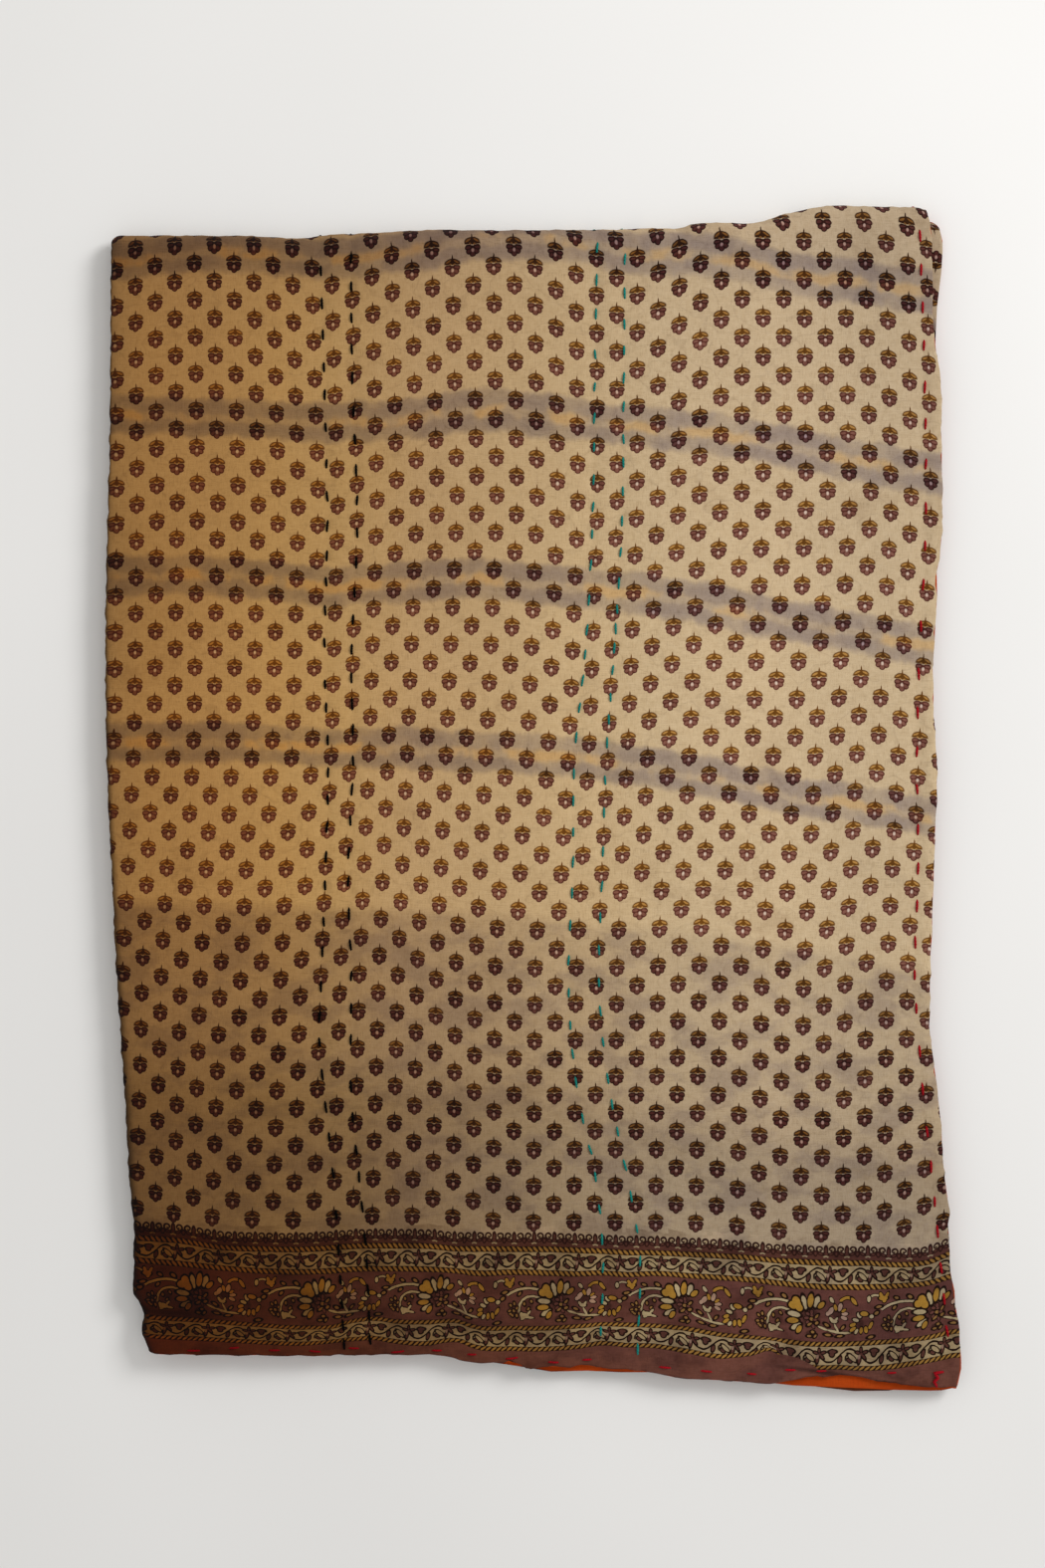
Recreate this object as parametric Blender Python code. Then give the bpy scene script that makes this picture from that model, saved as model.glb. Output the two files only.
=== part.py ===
"""A kantha quilt folded in quarters: a printed face cloth and a plain backing cloth, quilted together.

The quilt lies flat on the XY plane. It is folded once along its left edge, face outwards, and then
once along its top edge, so four layers lie on each other. From the top down they are the front's
outer layer (face up), the front's inner layer (face down), the back's inner layer (face up) and the
back's outer layer (face down, on the ground). The free edges are on the right and at the bottom.

A point of the quilt has a place across it (its column) and a place along it (its row). The columns
start at the outer layer's right edge, go round the side fold and end at the inner layer's right edge.
The rows start at the front's bottom edge, go round the top fold and end at the back's bottom edge.
"""

import math

import bpy
import numpy as np

MM = 0.001  # one millimetre, in metres

# ---------------------------------------------------------------- driving sizes, in millimetres

WIDTH = 639.0       # the folded quilt, from the side fold to the right edge
LENGTH = 881.0      # the folded quilt, from the top fold to the bottom edge
CLOTH = 1.0         # thickness of the face cloth, and of the backing cloth
CLOTH_GAP = 0.36    # air between the face cloth and the backing cloth
SIDE_RISE = 3.2     # half the rise of the side fold, between the middles of its two layers
SIDE_REACH = 7.0    # reach of the side fold past the flat part of its layers
TOP_RISE = 6.3      # half the rise of the top fold, at the middle of its two layers
TOP_STRETCH = 1.4   # reach of the top fold, for each millimetre that it rises
LOFT_DROP = 6.0     # how much flatter the stack is towards its free corner
LOFT_SPAN = 240.0   # distance from a fold in which the stack flattens
EDGE_DROP = 2.4     # how far the top layer dips at the folds
EDGE_SPAN = 26.0    # distance in which it dips
ROW_SPAN = 11.0     # half the width of the trough that a stitch row draws in
FACE_DIP = 0.4      # depth of that trough in the face cloth
LAYER_DIP = 0.5     # depth of that trough in the whole layer
LAYER_HALF = CLOTH + CLOTH_GAP / 2.0
OUTER_RISE = TOP_RISE + SIDE_RISE
TOP_REACH = TOP_STRETCH * (OUTER_RISE + LAYER_HALF)

SIDE_FOLD_STEPS = 6
TOP_FOLD_STEPS = 8

# ---------------------------------------------------------------- outline of the folded quilt, seen from above
# A first column gives the place on the edge, from the left or from the bottom of the box around
# the quilt. The second one gives where the edge is, measured the same way.

OUTLINE_LEFT = 6.0   # middle place of the left edge
OUTLINE_TOP = 895.0  # middle place of the top edge
LEFT_EDGE = {
    "up": (0, 40, 110, 170, 310, 460, 580, 750, 920),
    "x": (33, 29, 20, 14, 6, 2, 1, 5, 6),
}
RIGHT_EDGE = {
    "up": (0, 60, 110, 165, 270, 330, 390, 460, 545, 640, 770, 860, 920),
    "x": (655, 653, 652, 648, 636.5, 637, 638, 641, 638, 641, 644, 638, 635),
}
TOP_EDGE = {
    "right": (0, 150, 220, 300, 410, 450, 480, 505, 525, 560, 620, 661),
    "y": (895, 895.5, 899.5, 900, 903.5, 905, 906, 908.5, 913.5, 918.5, 918, 915),
}
BOTTOM_EDGE = {
    "right": (0, 60, 150, 265, 312, 381, 420, 458, 504, 528, 558, 589, 627, 661),
    "y": (34, 33, 31.5, 31, 26, 24, 18.5, 12.5, 10, 15, 15.5, 12, 8, 7),
}

# How far the other layers' free edges lie beyond the front's outer layer. A minus is inside it.
RIGHT_OFFSET = {
    "up": (0, 30, 70, 110, 200, 700, 800, 860, 920),
    "front_inner": (3, 5, 4.5, 2, -5, -6, -5, -2, 4),
    "back_inner": (-5, -5, -6, -7, -8, -6, 1, 6, 8),
    "back_outer": (-7, -7, -8, -9, -10, -8, -6, -4, -2),
}
BOTTOM_OFFSET = {
    "right": (0, 200, 290, 325, 400, 430, 500, 520, 555, 600, 640, 661),
    "front_inner": (-5, -3, -1, 5, 4.5, 0, 2, 8, 10.5, 7, 5, 3),
    "back_inner": (-8, -7, -8, -7, -6, -6, -4, 2, 11.5, 9, -2, -4),
    "back_outer": (-10, -9, -10, -11, -10, -9, -8, -8, -6, -7, -9, -9),
}

# Stitch rows of the outer layer, as distances from the side fold at the top and at the bottom.
STITCH_ROWS = {
    "black_left": (163.0, 172.0),
    "black_right": (184.0, 193.0),
    "teal_left": (372.0, 362.0),
    "teal_right": (391.0, 384.0),
    "red_edge": (628.0, 627.0),
}

# Soft billows and dips of the top layers: middle, half lengths across and along, turn and height.
BILLOWS = {
    "right": (95, 265, 300, 480, 560, 545, 150, 330, 470, 600, 620),
    "up": (640, 560, 250, 690, 420, 160, 330, 60, 90, 60, 250),
    "across": (70, 60, 60, 80, 110, 130, 70, 60, 55, 50, 40),
    "along": (190, 150, 170, 120, 90, 70, 110, 45, 50, 45, 120),
    "turn": (0, 0, 8, -14, -18, -22, 6, 0, 10, -12, 0),
    "height": (1.5, -0.9, 1.3, 1.2, 1.6, 1.7, 1.1, 1.2, -1.0, 1.6, 1.3),
}

# ---------------------------------------------------------------- materials

FACE_COLOUR = (0.39, 0.26, 0.15, 1.0)
BACK_COLOUR = (0.55, 0.10, 0.01, 1.0)
CLOTH_ROUGHNESS = 0.92


def clear_scene():
    """Removes the objects of the scene that the script starts in."""
    for thing in list(bpy.data.objects):
        bpy.data.objects.remove(thing, do_unlink=True)


def cloth_material(name, colour):
    """A matt cotton."""
    material = bpy.data.materials.new(name)
    material.use_nodes = True
    shader = material.node_tree.nodes["Principled BSDF"]
    shader.inputs["Base Color"].default_value = colour
    shader.inputs["Roughness"].default_value = CLOTH_ROUGHNESS
    shader.inputs["Metallic"].default_value = 0.0
    return material


def smooth_step(value):
    """0 below 0, 1 above 1, and a soft rise between."""
    clipped = np.clip(value, 0.0, 1.0)
    return clipped * clipped * (3.0 - 2.0 * clipped)


def along_table(place, table, column):
    """The table's column at a place, with a soft curve between its points."""
    places = np.array(table[next(iter(table))], float)
    values = np.array(table[column], float)
    slopes = np.gradient(values, places)
    place = np.clip(place, places[0], places[-1])
    low = np.clip(np.searchsorted(places, place) - 1, 0, len(places) - 2)
    span = places[low + 1] - places[low]
    part = (place - places[low]) / span
    rise = values[low + 1] - values[low]
    start = slopes[low] * span - rise
    end = rise - slopes[low + 1] * span
    bend = part * (1.0 - part) * (start * (1.0 - part) + end * part)
    return values[low] + rise * part + bend


# ---------------------------------------------------------------- rows and columns of the quilt


def stitch_row_place(name, down):
    """Distance of a stitch row from the side fold, at a share of the way down the quilt."""
    top, bottom = STITCH_ROWS[name]
    return top + (bottom - top) * down


def outer_places(down):
    """Places of the outer layer's columns, from its right edge to the side fold, for each row."""

    def plain(share):
        return SIDE_REACH + share * (WIDTH - SIDE_REACH) + 0.0 * down

    def beside(name, step):
        return stitch_row_place(name, down) + step

    places = [plain(1.0), beside("red_edge", 0.0), beside("red_edge", -ROW_SPAN)]
    places += [plain(share) for share in (0.90, 0.82, 0.74, 0.67)]
    places += [beside("teal_right", ROW_SPAN), beside("teal_right", 0.0)]
    places += [beside("teal_left", 0.0), beside("teal_left", -ROW_SPAN)]
    places += [plain(share) for share in (0.48, 0.40)]
    places += [beside("black_right", ROW_SPAN), beside("black_right", 0.0)]
    places += [beside("black_left", 0.0), beside("black_left", -ROW_SPAN)]
    places += [plain(share) for share in (0.16, 0.085, 0.03, 0.0)]
    return places


INNER_COLUMNS = (0.0, 0.035, 0.10, 0.22, 0.36, 0.50, 0.64, 0.78, 0.90, 1.0)
HEM_ROW = 0.985
FRONT_ROWS = (1.0, HEM_ROW, 0.96, 0.925, 0.885, 0.84, 0.79, 0.74, 0.69, 0.64, 0.59, 0.54, 0.49,
              0.44, 0.39, 0.34, 0.29, 0.24, 0.19, 0.145, 0.105, 0.07, 0.04, 0.018, 0.0)
BACK_ROWS = (0.0, 0.03, 0.09, 0.18, 0.30, 0.42, 0.54, 0.66, 0.78, 0.89, 0.96, 1.0)


def fold_turns(steps):
    """Angles round a fold between its two flat parts, which are at +90 and -90 degrees."""
    return [math.pi * (0.5 - step / steps) for step in range(1, steps)]


def quilt_rows():
    """The share of the way down and the angle round the top fold, for each row."""
    turns = fold_turns(TOP_FOLD_STEPS)
    shares = list(FRONT_ROWS) + [0.0] * len(turns) + list(BACK_ROWS)
    angles = [math.pi / 2.0] * len(FRONT_ROWS) + turns + [-math.pi / 2.0] * len(BACK_ROWS)
    on_fold = [False] * len(FRONT_ROWS) + [True] * len(turns) + [False] * len(BACK_ROWS)
    return np.array(shares)[:, None], np.array(angles)[:, None], np.array(on_fold)[:, None]


def quilt_columns(share_down):
    """The distance from the side fold, for each row and column, and the angle round that fold."""
    down = share_down[:, 0]
    turns = fold_turns(SIDE_FOLD_STEPS)
    outer = outer_places(down)
    fold = [SIDE_REACH * (1.0 - math.cos(turn)) + 0.0 * down for turn in turns]
    inner = [SIDE_REACH + share * (WIDTH - SIDE_REACH) + 0.0 * down for share in INNER_COLUMNS]
    angles = [math.pi / 2.0] * len(outer) + turns + [-math.pi / 2.0] * len(inner)
    return np.array(outer + fold + inner).T, np.array(angles)[None, :]


# ---------------------------------------------------------------- the quilt's form


def edge_offset(table, place, side_turn, top_turn):
    """How far a layer's free edge lies beyond the front's outer layer, blended round the folds."""
    inner = 0.5 - 0.5 * np.sin(side_turn)
    back = 0.5 - 0.5 * np.sin(top_turn)
    front = inner * along_table(place, table, "front_inner")
    behind = inner * along_table(place, table, "back_inner")
    behind = behind + (1.0 - inner) * along_table(place, table, "back_outer")
    return front + back * (behind - front)


def stitch_nearness(across, share):
    """1 on a stitch row, falling to 0 beside it."""
    nearest = 0.0 * across
    for name in STITCH_ROWS:
        away = np.abs(across - stitch_row_place(name, share)) / ROW_SPAN
        nearest = np.maximum(nearest, 1.0 - away)
    hem_away = np.abs(share - HEM_ROW) * LENGTH / ROW_SPAN
    return np.maximum(nearest, 1.0 - hem_away)


def top_layer_shift(across, down):
    """How far the top layer lies above or below its even height, at distances from the two folds."""
    flattened = smooth_step(across / LOFT_SPAN) * smooth_step(down / LOFT_SPAN)
    fold_distance = np.maximum(np.minimum(across, down), 0.0)
    near_fold = np.maximum(1.0 - fold_distance / EDGE_SPAN, 0.0) ** 2
    shift = -LOFT_DROP * flattened - EDGE_DROP * near_fold
    for index in range(len(BILLOWS["right"])):
        turn = math.radians(BILLOWS["turn"][index])
        right = across - BILLOWS["right"][index]
        up = (LENGTH - down) - BILLOWS["up"][index]
        along = right * math.cos(turn) + up * math.sin(turn)
        aside = up * math.cos(turn) - right * math.sin(turn)
        reach = (along / BILLOWS["across"][index]) ** 2 + (aside / BILLOWS["along"][index]) ** 2
        shift = shift + BILLOWS["height"][index] * np.exp(-reach)
    return shift - LAYER_DIP * stitch_nearness(across, down / LENGTH)


def cloth_surface(out, dip):
    """A grid of points, out millimetres from the middle of the two cloths towards the quilt's face.

    The stitch rows pull it in by dip.
    """
    share, top_turn, on_top_fold = quilt_rows()
    across, side_turn = quilt_columns(share)
    out = out - dip * stitch_nearness(across, share)

    # Across the quilt: two flat parts, and a half ellipse round the side fold between them.
    free = np.clip((across - SIDE_REACH) / (WIDTH - SIDE_REACH), 0.0, 1.0)
    up = LENGTH * (1.0 - share)
    across = across + free * edge_offset(RIGHT_OFFSET, up + 0.0 * across, side_turn, top_turn)
    middle_radius = TOP_RISE + SIDE_RISE * np.sin(side_turn)
    radius = middle_radius + out * np.sin(side_turn)
    across_out = across - out * np.cos(side_turn)

    # Along the quilt: two flat parts, and a half ellipse round the top fold between them.
    beyond = edge_offset(BOTTOM_OFFSET, across, side_turn, top_turn)
    flat_down = TOP_REACH + share * (LENGTH + beyond - TOP_REACH)
    down = np.where(on_top_fold, TOP_REACH - TOP_STRETCH * radius * np.cos(top_turn), flat_down)
    middle_down = TOP_REACH - TOP_STRETCH * middle_radius * np.cos(top_turn)
    middle_down = np.where(on_top_fold, middle_down, flat_down)
    lift = (middle_radius * np.sin(top_turn) + OUTER_RISE) / (2.0 * OUTER_RISE)
    height = radius * np.sin(top_turn) + OUTER_RISE + LAYER_HALF
    height = height + lift * top_layer_shift(across, middle_down)

    # The outline seen from above.
    level_x = OUTLINE_LEFT + across_out
    level_y = OUTLINE_TOP - down
    left = along_table(level_y, LEFT_EDGE, "x")
    right = along_table(level_y, RIGHT_EDGE, "x")
    top = along_table(level_x, TOP_EDGE, "y")
    bottom = along_table(level_x, BOTTOM_EDGE, "y")
    x = left + across_out / WIDTH * (right - left)
    y = top + down / LENGTH * (bottom - top)
    return np.stack([x, y, height], axis=-1)


def cloth_mesh(name, surfaces, middle):
    """A closed sheet between two grids of points, of which the first is on the face's side."""
    face_side, back_side = surfaces
    row_count, column_count = face_side.shape[:2]
    points = np.concatenate([face_side.reshape(-1, 3), back_side.reshape(-1, 3)])
    points = (points - middle) * MM
    second = row_count * column_count
    triangles = []
    for row in range(row_count - 1):
        for column in range(column_count - 1):
            a = row * column_count + column
            b = a + 1
            c = b + column_count
            d = a + column_count
            triangles += [(a, c, b), (a, d, c)]
            triangles += [(second + a, second + b, second + c), (second + a, second + c, second + d)]
    rim = [(row, 0) for row in range(row_count - 1)]
    rim += [(row_count - 1, column) for column in range(column_count - 1)]
    rim += [(row, column_count - 1) for row in range(row_count - 1, 0, -1)]
    rim += [(0, column) for column in range(column_count - 1, 0, -1)]
    corners = [row * column_count + column for row, column in rim]
    for start, end in zip(corners, corners[1:] + corners[:1]):
        triangles += [(start, second + start, second + end), (start, second + end, end)]
    mesh = bpy.data.meshes.new(name)
    mesh.from_pydata([tuple(point) for point in points], [], triangles)
    mesh.validate()
    mesh.shade_smooth()
    return mesh


def build():
    """Both cloths, in one collection."""
    clear_scene()
    collection = bpy.data.collections.new("kantha_quilt")
    bpy.context.scene.collection.children.link(collection)
    half_gap = CLOTH_GAP / 2.0
    surfaces = {
        "face_cloth": (cloth_surface(LAYER_HALF, FACE_DIP), cloth_surface(half_gap, 0.0)),
        "back_cloth": (cloth_surface(-half_gap, 0.0), cloth_surface(-LAYER_HALF, 0.0)),
    }
    colours = {"face_cloth": FACE_COLOUR, "back_cloth": BACK_COLOUR}
    every_point = np.concatenate([grid.reshape(-1, 3) for pair in surfaces.values() for grid in pair])
    lowest, highest = every_point.min(axis=0), every_point.max(axis=0)
    middle = (lowest + highest) / 2.0
    middle[2] = lowest[2]
    for name, pair in surfaces.items():
        thing = bpy.data.objects.new(name, cloth_mesh(name, pair, middle))
        thing.data.materials.append(cloth_material(name, colours[name]))
        collection.objects.link(thing)


build()
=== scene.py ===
"""Looks of the kantha quilt that lies folded in quarters: cloth, print, stitches and light.

Lengths are in millimetres, and places are measured from the left and from the bottom of the box
around the folded quilt, as seen from above, unless a comment says otherwise.
"""

import math
import random

import bpy
import numpy as np
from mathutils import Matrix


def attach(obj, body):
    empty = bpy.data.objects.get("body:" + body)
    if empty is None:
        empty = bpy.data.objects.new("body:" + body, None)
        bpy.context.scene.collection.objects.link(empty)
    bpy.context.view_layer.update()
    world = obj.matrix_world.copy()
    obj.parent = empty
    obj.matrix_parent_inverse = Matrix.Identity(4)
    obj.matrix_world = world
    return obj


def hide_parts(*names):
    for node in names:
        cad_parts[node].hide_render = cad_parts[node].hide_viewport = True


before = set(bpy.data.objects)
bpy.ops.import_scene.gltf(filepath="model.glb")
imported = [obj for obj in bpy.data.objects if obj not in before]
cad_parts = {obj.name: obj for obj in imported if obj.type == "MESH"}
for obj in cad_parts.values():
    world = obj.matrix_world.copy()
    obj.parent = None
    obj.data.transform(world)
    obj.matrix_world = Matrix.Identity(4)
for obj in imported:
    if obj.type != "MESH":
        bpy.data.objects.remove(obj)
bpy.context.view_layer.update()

MM = 0.001
QUARTER = math.pi / 2.0

# ---------------------------------------------------------------- folded form, as in the CAD part

WIDTH = 639.0
LENGTH = 881.0
SIDE_RISE = 3.2
SIDE_REACH = 7.0
TOP_RISE = 6.3
TOP_STRETCH = 1.4
LOFT_DROP = 6.0
LOFT_SPAN = 240.0
EDGE_DROP = 2.4
EDGE_SPAN = 26.0
LAYER_HALF = 1.18
OUTER_RISE = TOP_RISE + SIDE_RISE
TOP_REACH = TOP_STRETCH * (OUTER_RISE + LAYER_HALF)
TOP_ARC = math.pi * OUTER_RISE * 1.15 / 2.0  # along the cloth, from the top fold's middle
SIDE_ARC = 0.5 * math.pi * math.sqrt((SIDE_REACH**2 + SIDE_RISE**2) / 2.0)
OUTLINE_LEFT = 6.0
OUTLINE_TOP = 895.0

LEFT_EDGE = {
    "up": (0, 30, 44, 50, 62, 76, 104, 127, 173, 219, 266, 335, 400, 460, 580, 750, 920),
    "x": (36, 34.5, 31.5, 29.5, 31.5, 24.5, 23.5, 23.4, 19.5, 17.2, 14, 9.5, 6.5, 3.5, 1.5, 5, 6),
}
RIGHT_EDGE = {
    "up": (0, 20, 47, 61, 75, 89, 130, 144, 158, 214, 255, 269, 325, 380, 436, 484, 519, 560, 602,
           616, 630, 643, 740, 790, 808, 830, 893, 920),
    "x": (656, 659.5, 659.6, 657.8, 655.3, 653.5, 650.8, 651.4, 649.1, 644.5, 639.6, 637.6, 636.8,
          638.6, 640.5, 642.2, 639.9, 639.1, 641.2, 641.9, 641, 643.4, 645.2, 643.7, 640.2, 638.5,
          637, 634),
}
TOP_EDGE = {
    "right": (0, 60, 110, 160, 172, 195, 220, 247, 300, 350, 400, 425, 447, 452, 480, 508, 516, 526,
              534, 544, 553, 580, 600, 618, 636, 661),
    "y": (896, 896.2, 895.8, 894.8, 896.8, 897.6, 899, 900.4, 900.2, 900.6, 901, 902, 902.6, 904.4,
          906, 907, 910, 913.4, 914.4, 917, 918.6, 919.2, 918.4, 918.4, 917.2, 914),
}
BOTTOM_EDGE = {
    "right": (0, 60, 150, 240, 262, 277, 300, 308, 317, 325, 338, 345, 356, 372, 381, 393, 412, 431,
              450, 470, 489, 508, 516, 535, 547, 554, 566, 581, 597, 612, 635, 645, 661),
    "y": (34, 33, 31.5, 31.5, 31, 26.5, 25.8, 25.6, 27, 21.4, 21.8, 23.3, 21.8, 23.6, 21.8, 20.6,
          19.3, 16.2, 13.1, 12.3, 10.8, 9.5, 9.2, 13.1, 15.4, 13.9, 16.2, 14.6, 11.6, 9.2, 6.9, 6.2,
          6.5),
}
# How far the free edges of the layers below lie beyond the front's.
RIGHT_OFFSET = {
    "up": (0, 20, 34, 50, 62, 74, 86, 100, 140, 200, 700, 780, 800, 816, 840, 891, 909, 920),
    "front_inner": (1.2, 1.6, 0.6, -0.6, 0.2, 1.6, 0.4, -1.5, -4, -5, -6, -6, -5, -5, -5, -5, -5,
          -5),
    "back_inner": (-5, -5, -5.4, -5.8, -6, -6, -6.2, -6.6, -7.3, -8, -6, -2, 1.5, 4.5, 8, 8.4, 4,
          2),
    "back_outer": (-7, -7, -7, -7, -7, -7, -7.4, -8, -8.4, -9, -10, -9, -8, -6, -4, -3, -3, -3),
}
BOTTOM_OFFSET_AHEAD = {
    "right": (0, 240, 277, 303, 306, 317, 325, 336.5, 343, 356, 372, 389, 406, 415, 425, 445, 500,
          516, 535, 547, 554, 566, 581, 597, 612, 635, 645, 655),
    "front_inner": (-5, -2, -1.5, 0.5, 1.2, 4.7, 1.2, 2.5, 5.4, 4, 5.5, 3.7, 3, 1.7, 0, -2, -1,
          1.2, 5.9, 8.6, 7.3, 10, 9.4, 7.4, 5.9, 3.8, 3.1, 2),
}
BOTTOM_OFFSET_BEHIND = {
    "right": (0, 200, 290, 325, 400, 430, 500, 520, 535, 545, 558, 575, 589, 603, 616, 635, 655),
    "back_inner": (-8, -7, -8, -7, -6, -6, -4, 1, 5, 8.4, 9.6, 12.7, 13, 8.8, 4.9, 0, -4),
    "back_outer": (-10, -9, -10, -11, -10, -9, -8, -8, -7, -6, -6, -6, -6.5, -7, -8, -9, -9),
}
HEM_LEFT = 35.0
HEM_SPAN = 622.0
# Uneven edges: wavelength and height of small waves.
EDGE_WAVES = ((31.0, 0.30), (17.0, 0.28), (10.3, 0.22), (6.1, 0.12))
# Wide billows of the top layer: middle, half widths, turn in degrees and height.
BILLOWS = {
    "right": (95, 265, 300, 480, 560, 545, 150, 330, 470, 600, 620),
    "up": (640, 560, 250, 690, 420, 160, 330, 60, 90, 60, 250),
    "across": (70, 60, 60, 80, 110, 130, 70, 60, 55, 50, 40),
    "along": (190, 150, 170, 120, 90, 70, 110, 45, 50, 45, 120),
    "turn": (0, 0, 8, -14, -18, -22, 6, 0, 10, -12, 0),
    "height": (1.5, -0.9, 1.3, 1.2, 1.6, 1.7, 1.1, 1.2, -1.0, 1.6, 1.3),
}

# ---------------------------------------------------------------- finer forms of the cloth

# Courses of the stitch rows of the front, by their distance from the left.
STITCH_COURSES = {
    "up": (40, 110, 175, 230, 275, 320, 400, 500, 560, 670, 790, 890),
    "black_left": (184.8, 180.6, 175.9, 169.8, 165.6, 167.1, 170.2, 172.2, 169.6, 171.7, 169.4,
          166.3),
    "black_right": (204.8, 201.7, 195.6, 190.2, 189.8, 190.2, 187.9, 191.7, 190.2, 194.8, 191,
          190.2),
    "teal_left": (382.3, 384.2, 377.6, 365.4, 360.0, 357.7, 361.0, 363.0, 369.5, 376.2, 378.0,
          379.9),
    "teal_right": (411.2, 412.7, 401.9, 390.4, 384.2, 381.2, 383.8, 387.3, 391.9, 398.9, 400.4,
          401.2),
    "red_edge": (650.9, 644.0, 637.6, 631.4, 627.9, 624.8, 627.3, 626.6, 628.2, 633.4, 632.1,
          628.2),
}
# Each row's thread, its radius, the stitches' length, and the heights of their middles.
STITCH_ROWS = {
    "black_left": {
        "thread": "black_thread", "radius": 0.78, "length": 8.8,
        "up": (
            867, 842, 818, 793, 772, 747, 719, 694, 671, 648, 628, 606, 581, 549, 531, 506, 481,
            460, 439, 416, 394, 366, 343, 316, 293, 273, 248, 223, 200, 172, 140, 113, 90, 71, 55,
            40,
        ),
    },
    "black_right": {
        "thread": "black_thread", "radius": 0.78, "length": 9.6,
        "up": (
            877, 855, 831, 807, 785, 759, 738, 714, 691, 666, 643, 620, 599, 576, 554, 534, 514,
            490, 468, 444, 419, 397, 372, 348, 324, 299, 275, 239, 215, 190, 169, 146, 121, 102,
            82, 62, 44,
        ),
    },
    "teal_left": {
        "thread": "teal_thread", "radius": 0.7, "length": 9.0,
        "up": (
            885, 860, 834, 803, 778, 754, 732, 707, 686, 665, 641, 614, 591, 572, 552, 531, 508,
            480, 459, 435, 412, 388, 363, 336, 311, 286, 264, 242, 214, 190, 169, 144, 121, 99, 75,
            50,
        ),
    },
    "teal_right": {
        "thread": "teal_thread", "radius": 0.7, "length": 8.8,
        "up": (
            876, 850, 826, 806, 785, 763, 738, 720, 698, 675, 651, 627, 607, 592, 577, 560, 539,
            522, 504, 475, 450, 420, 393, 369, 344, 319, 297, 273, 245, 225, 204, 178, 154, 129,
            104, 79, 58, 36,
        ),
    },
    "red_edge": {
        "thread": "red_thread", "radius": 0.76, "length": 9.6,
        "up": (
            894, 868, 839, 810, 778, 750, 719, 685, 656, 626, 594, 557, 527, 497, 468, 437, 407,
            378, 350, 325, 299, 266, 237, 204, 177, 150, 127, 99, 75, 50,
        ),
    },
}
# Middles of the hem's stitches.
HEM_STITCHES = {
    "right": (69, 100, 131, 162, 192, 226, 256, 283, 314, 346, 372, 432, 464, 499, 529, 553, 607),
    "up": (36, 38, 36, 35, 37, 34, 35, 32, 29, 26, 28, 22, 19, 17, 20, 19, 18),
}
HEM_ROW_RISE = 4.5  # distance of the hem's stitches from the hem's edge
HEM_STITCH = 8.8  # their length
# Half widths and depths of what a stitch row draws in on the front, and under the quilt.
TROUGH = (3.2, 0.45)
VALLEY = (10.0, 0.55)
PUCKER = (16.0, 0.16)
HEM_TROUGH = (3.5, 0.6)
UNDER_TROUGH = (3.6, 2.3)
# The underside's stitches: their pitch, the first one's distance from the top fold and the last
# one's from the free edge, and how far and over what length a row sways.
UNDER_PITCH, UNDER_START, UNDER_END = 23.0, 16.0, 14.0
UNDER_SWAY = (0.9, 60.0)

# Columns stand here when the cloth is even, and follow the stitch courses down the cloth.
COLUMN_ANCHORS = {
    "black_left": 170.0,
    "black_right": 190.0,
    "teal_left": 372.0,
    "teal_right": 392.0,
    "red_edge": 628.0,
}

# Creases and ridges: start, end, half width, and height, where a minus is a trough.
CREASES = (
    # from x, from up, to x, to up, half width, height
    (188, 92, 198, 34, 9.0, 2.0),
    (226, 84, 229, 34, 8.0, -1.1),
    (262, 76, 268, 32, 6.0, 1.3),
    (270, 74, 276, 30, 4.0, -1.5),
    (312, 56, 316, 28, 7.0, -0.9),
    (373, 72, 369, 28, 10.0, 1.6),
    (420, 172, 452, 118, 2.6, -0.7),
    (414, 160, 440, 116, 3.4, 0.6),
    (4, 75, 100, 61, 6.5, -3.4),
    (20, 92, 120, 78, 10.0, 1.9),
    (505, 36, 560, 27, 7.0, 1.8),
    (527, 20.8, 616, 13, 3.0, -1.6),
    (560, 30, 620, 20, 5.0, 1.3),
    (185, 392, 198, 378, 3.0, -0.7),
    (150, 300, 172, 240, 7.0, -0.6),
    (92, 455, 128, 300, 16.0, -0.8),
    (470, 560, 600, 520, 18.0, -0.7),
    (215, 700, 330, 690, 22.0, -0.6),
    (430, 330, 600, 292, 16.0, -0.8),
    (520, 232, 590, 150, 12.0, -0.8),
    (60, 820, 100, 620, 14.0, -0.6),
    (640, 560, 634, 400, 6.0, 0.8),
)

# ---------------------------------------------------------------- the print's places on the cloth

COLUMN_PITCH = 15.63  # between neighbouring columns of the printed field
ROW_PITCH = 14.388    # between neighbouring rows
REPEAT = 94.8         # of the border's main band
VINE_REPEAT = REPEAT / 3.0
CREST_REPEAT = REPEAT / 6.0
ROPE_STROKE = REPEAT / 23.0

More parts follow.
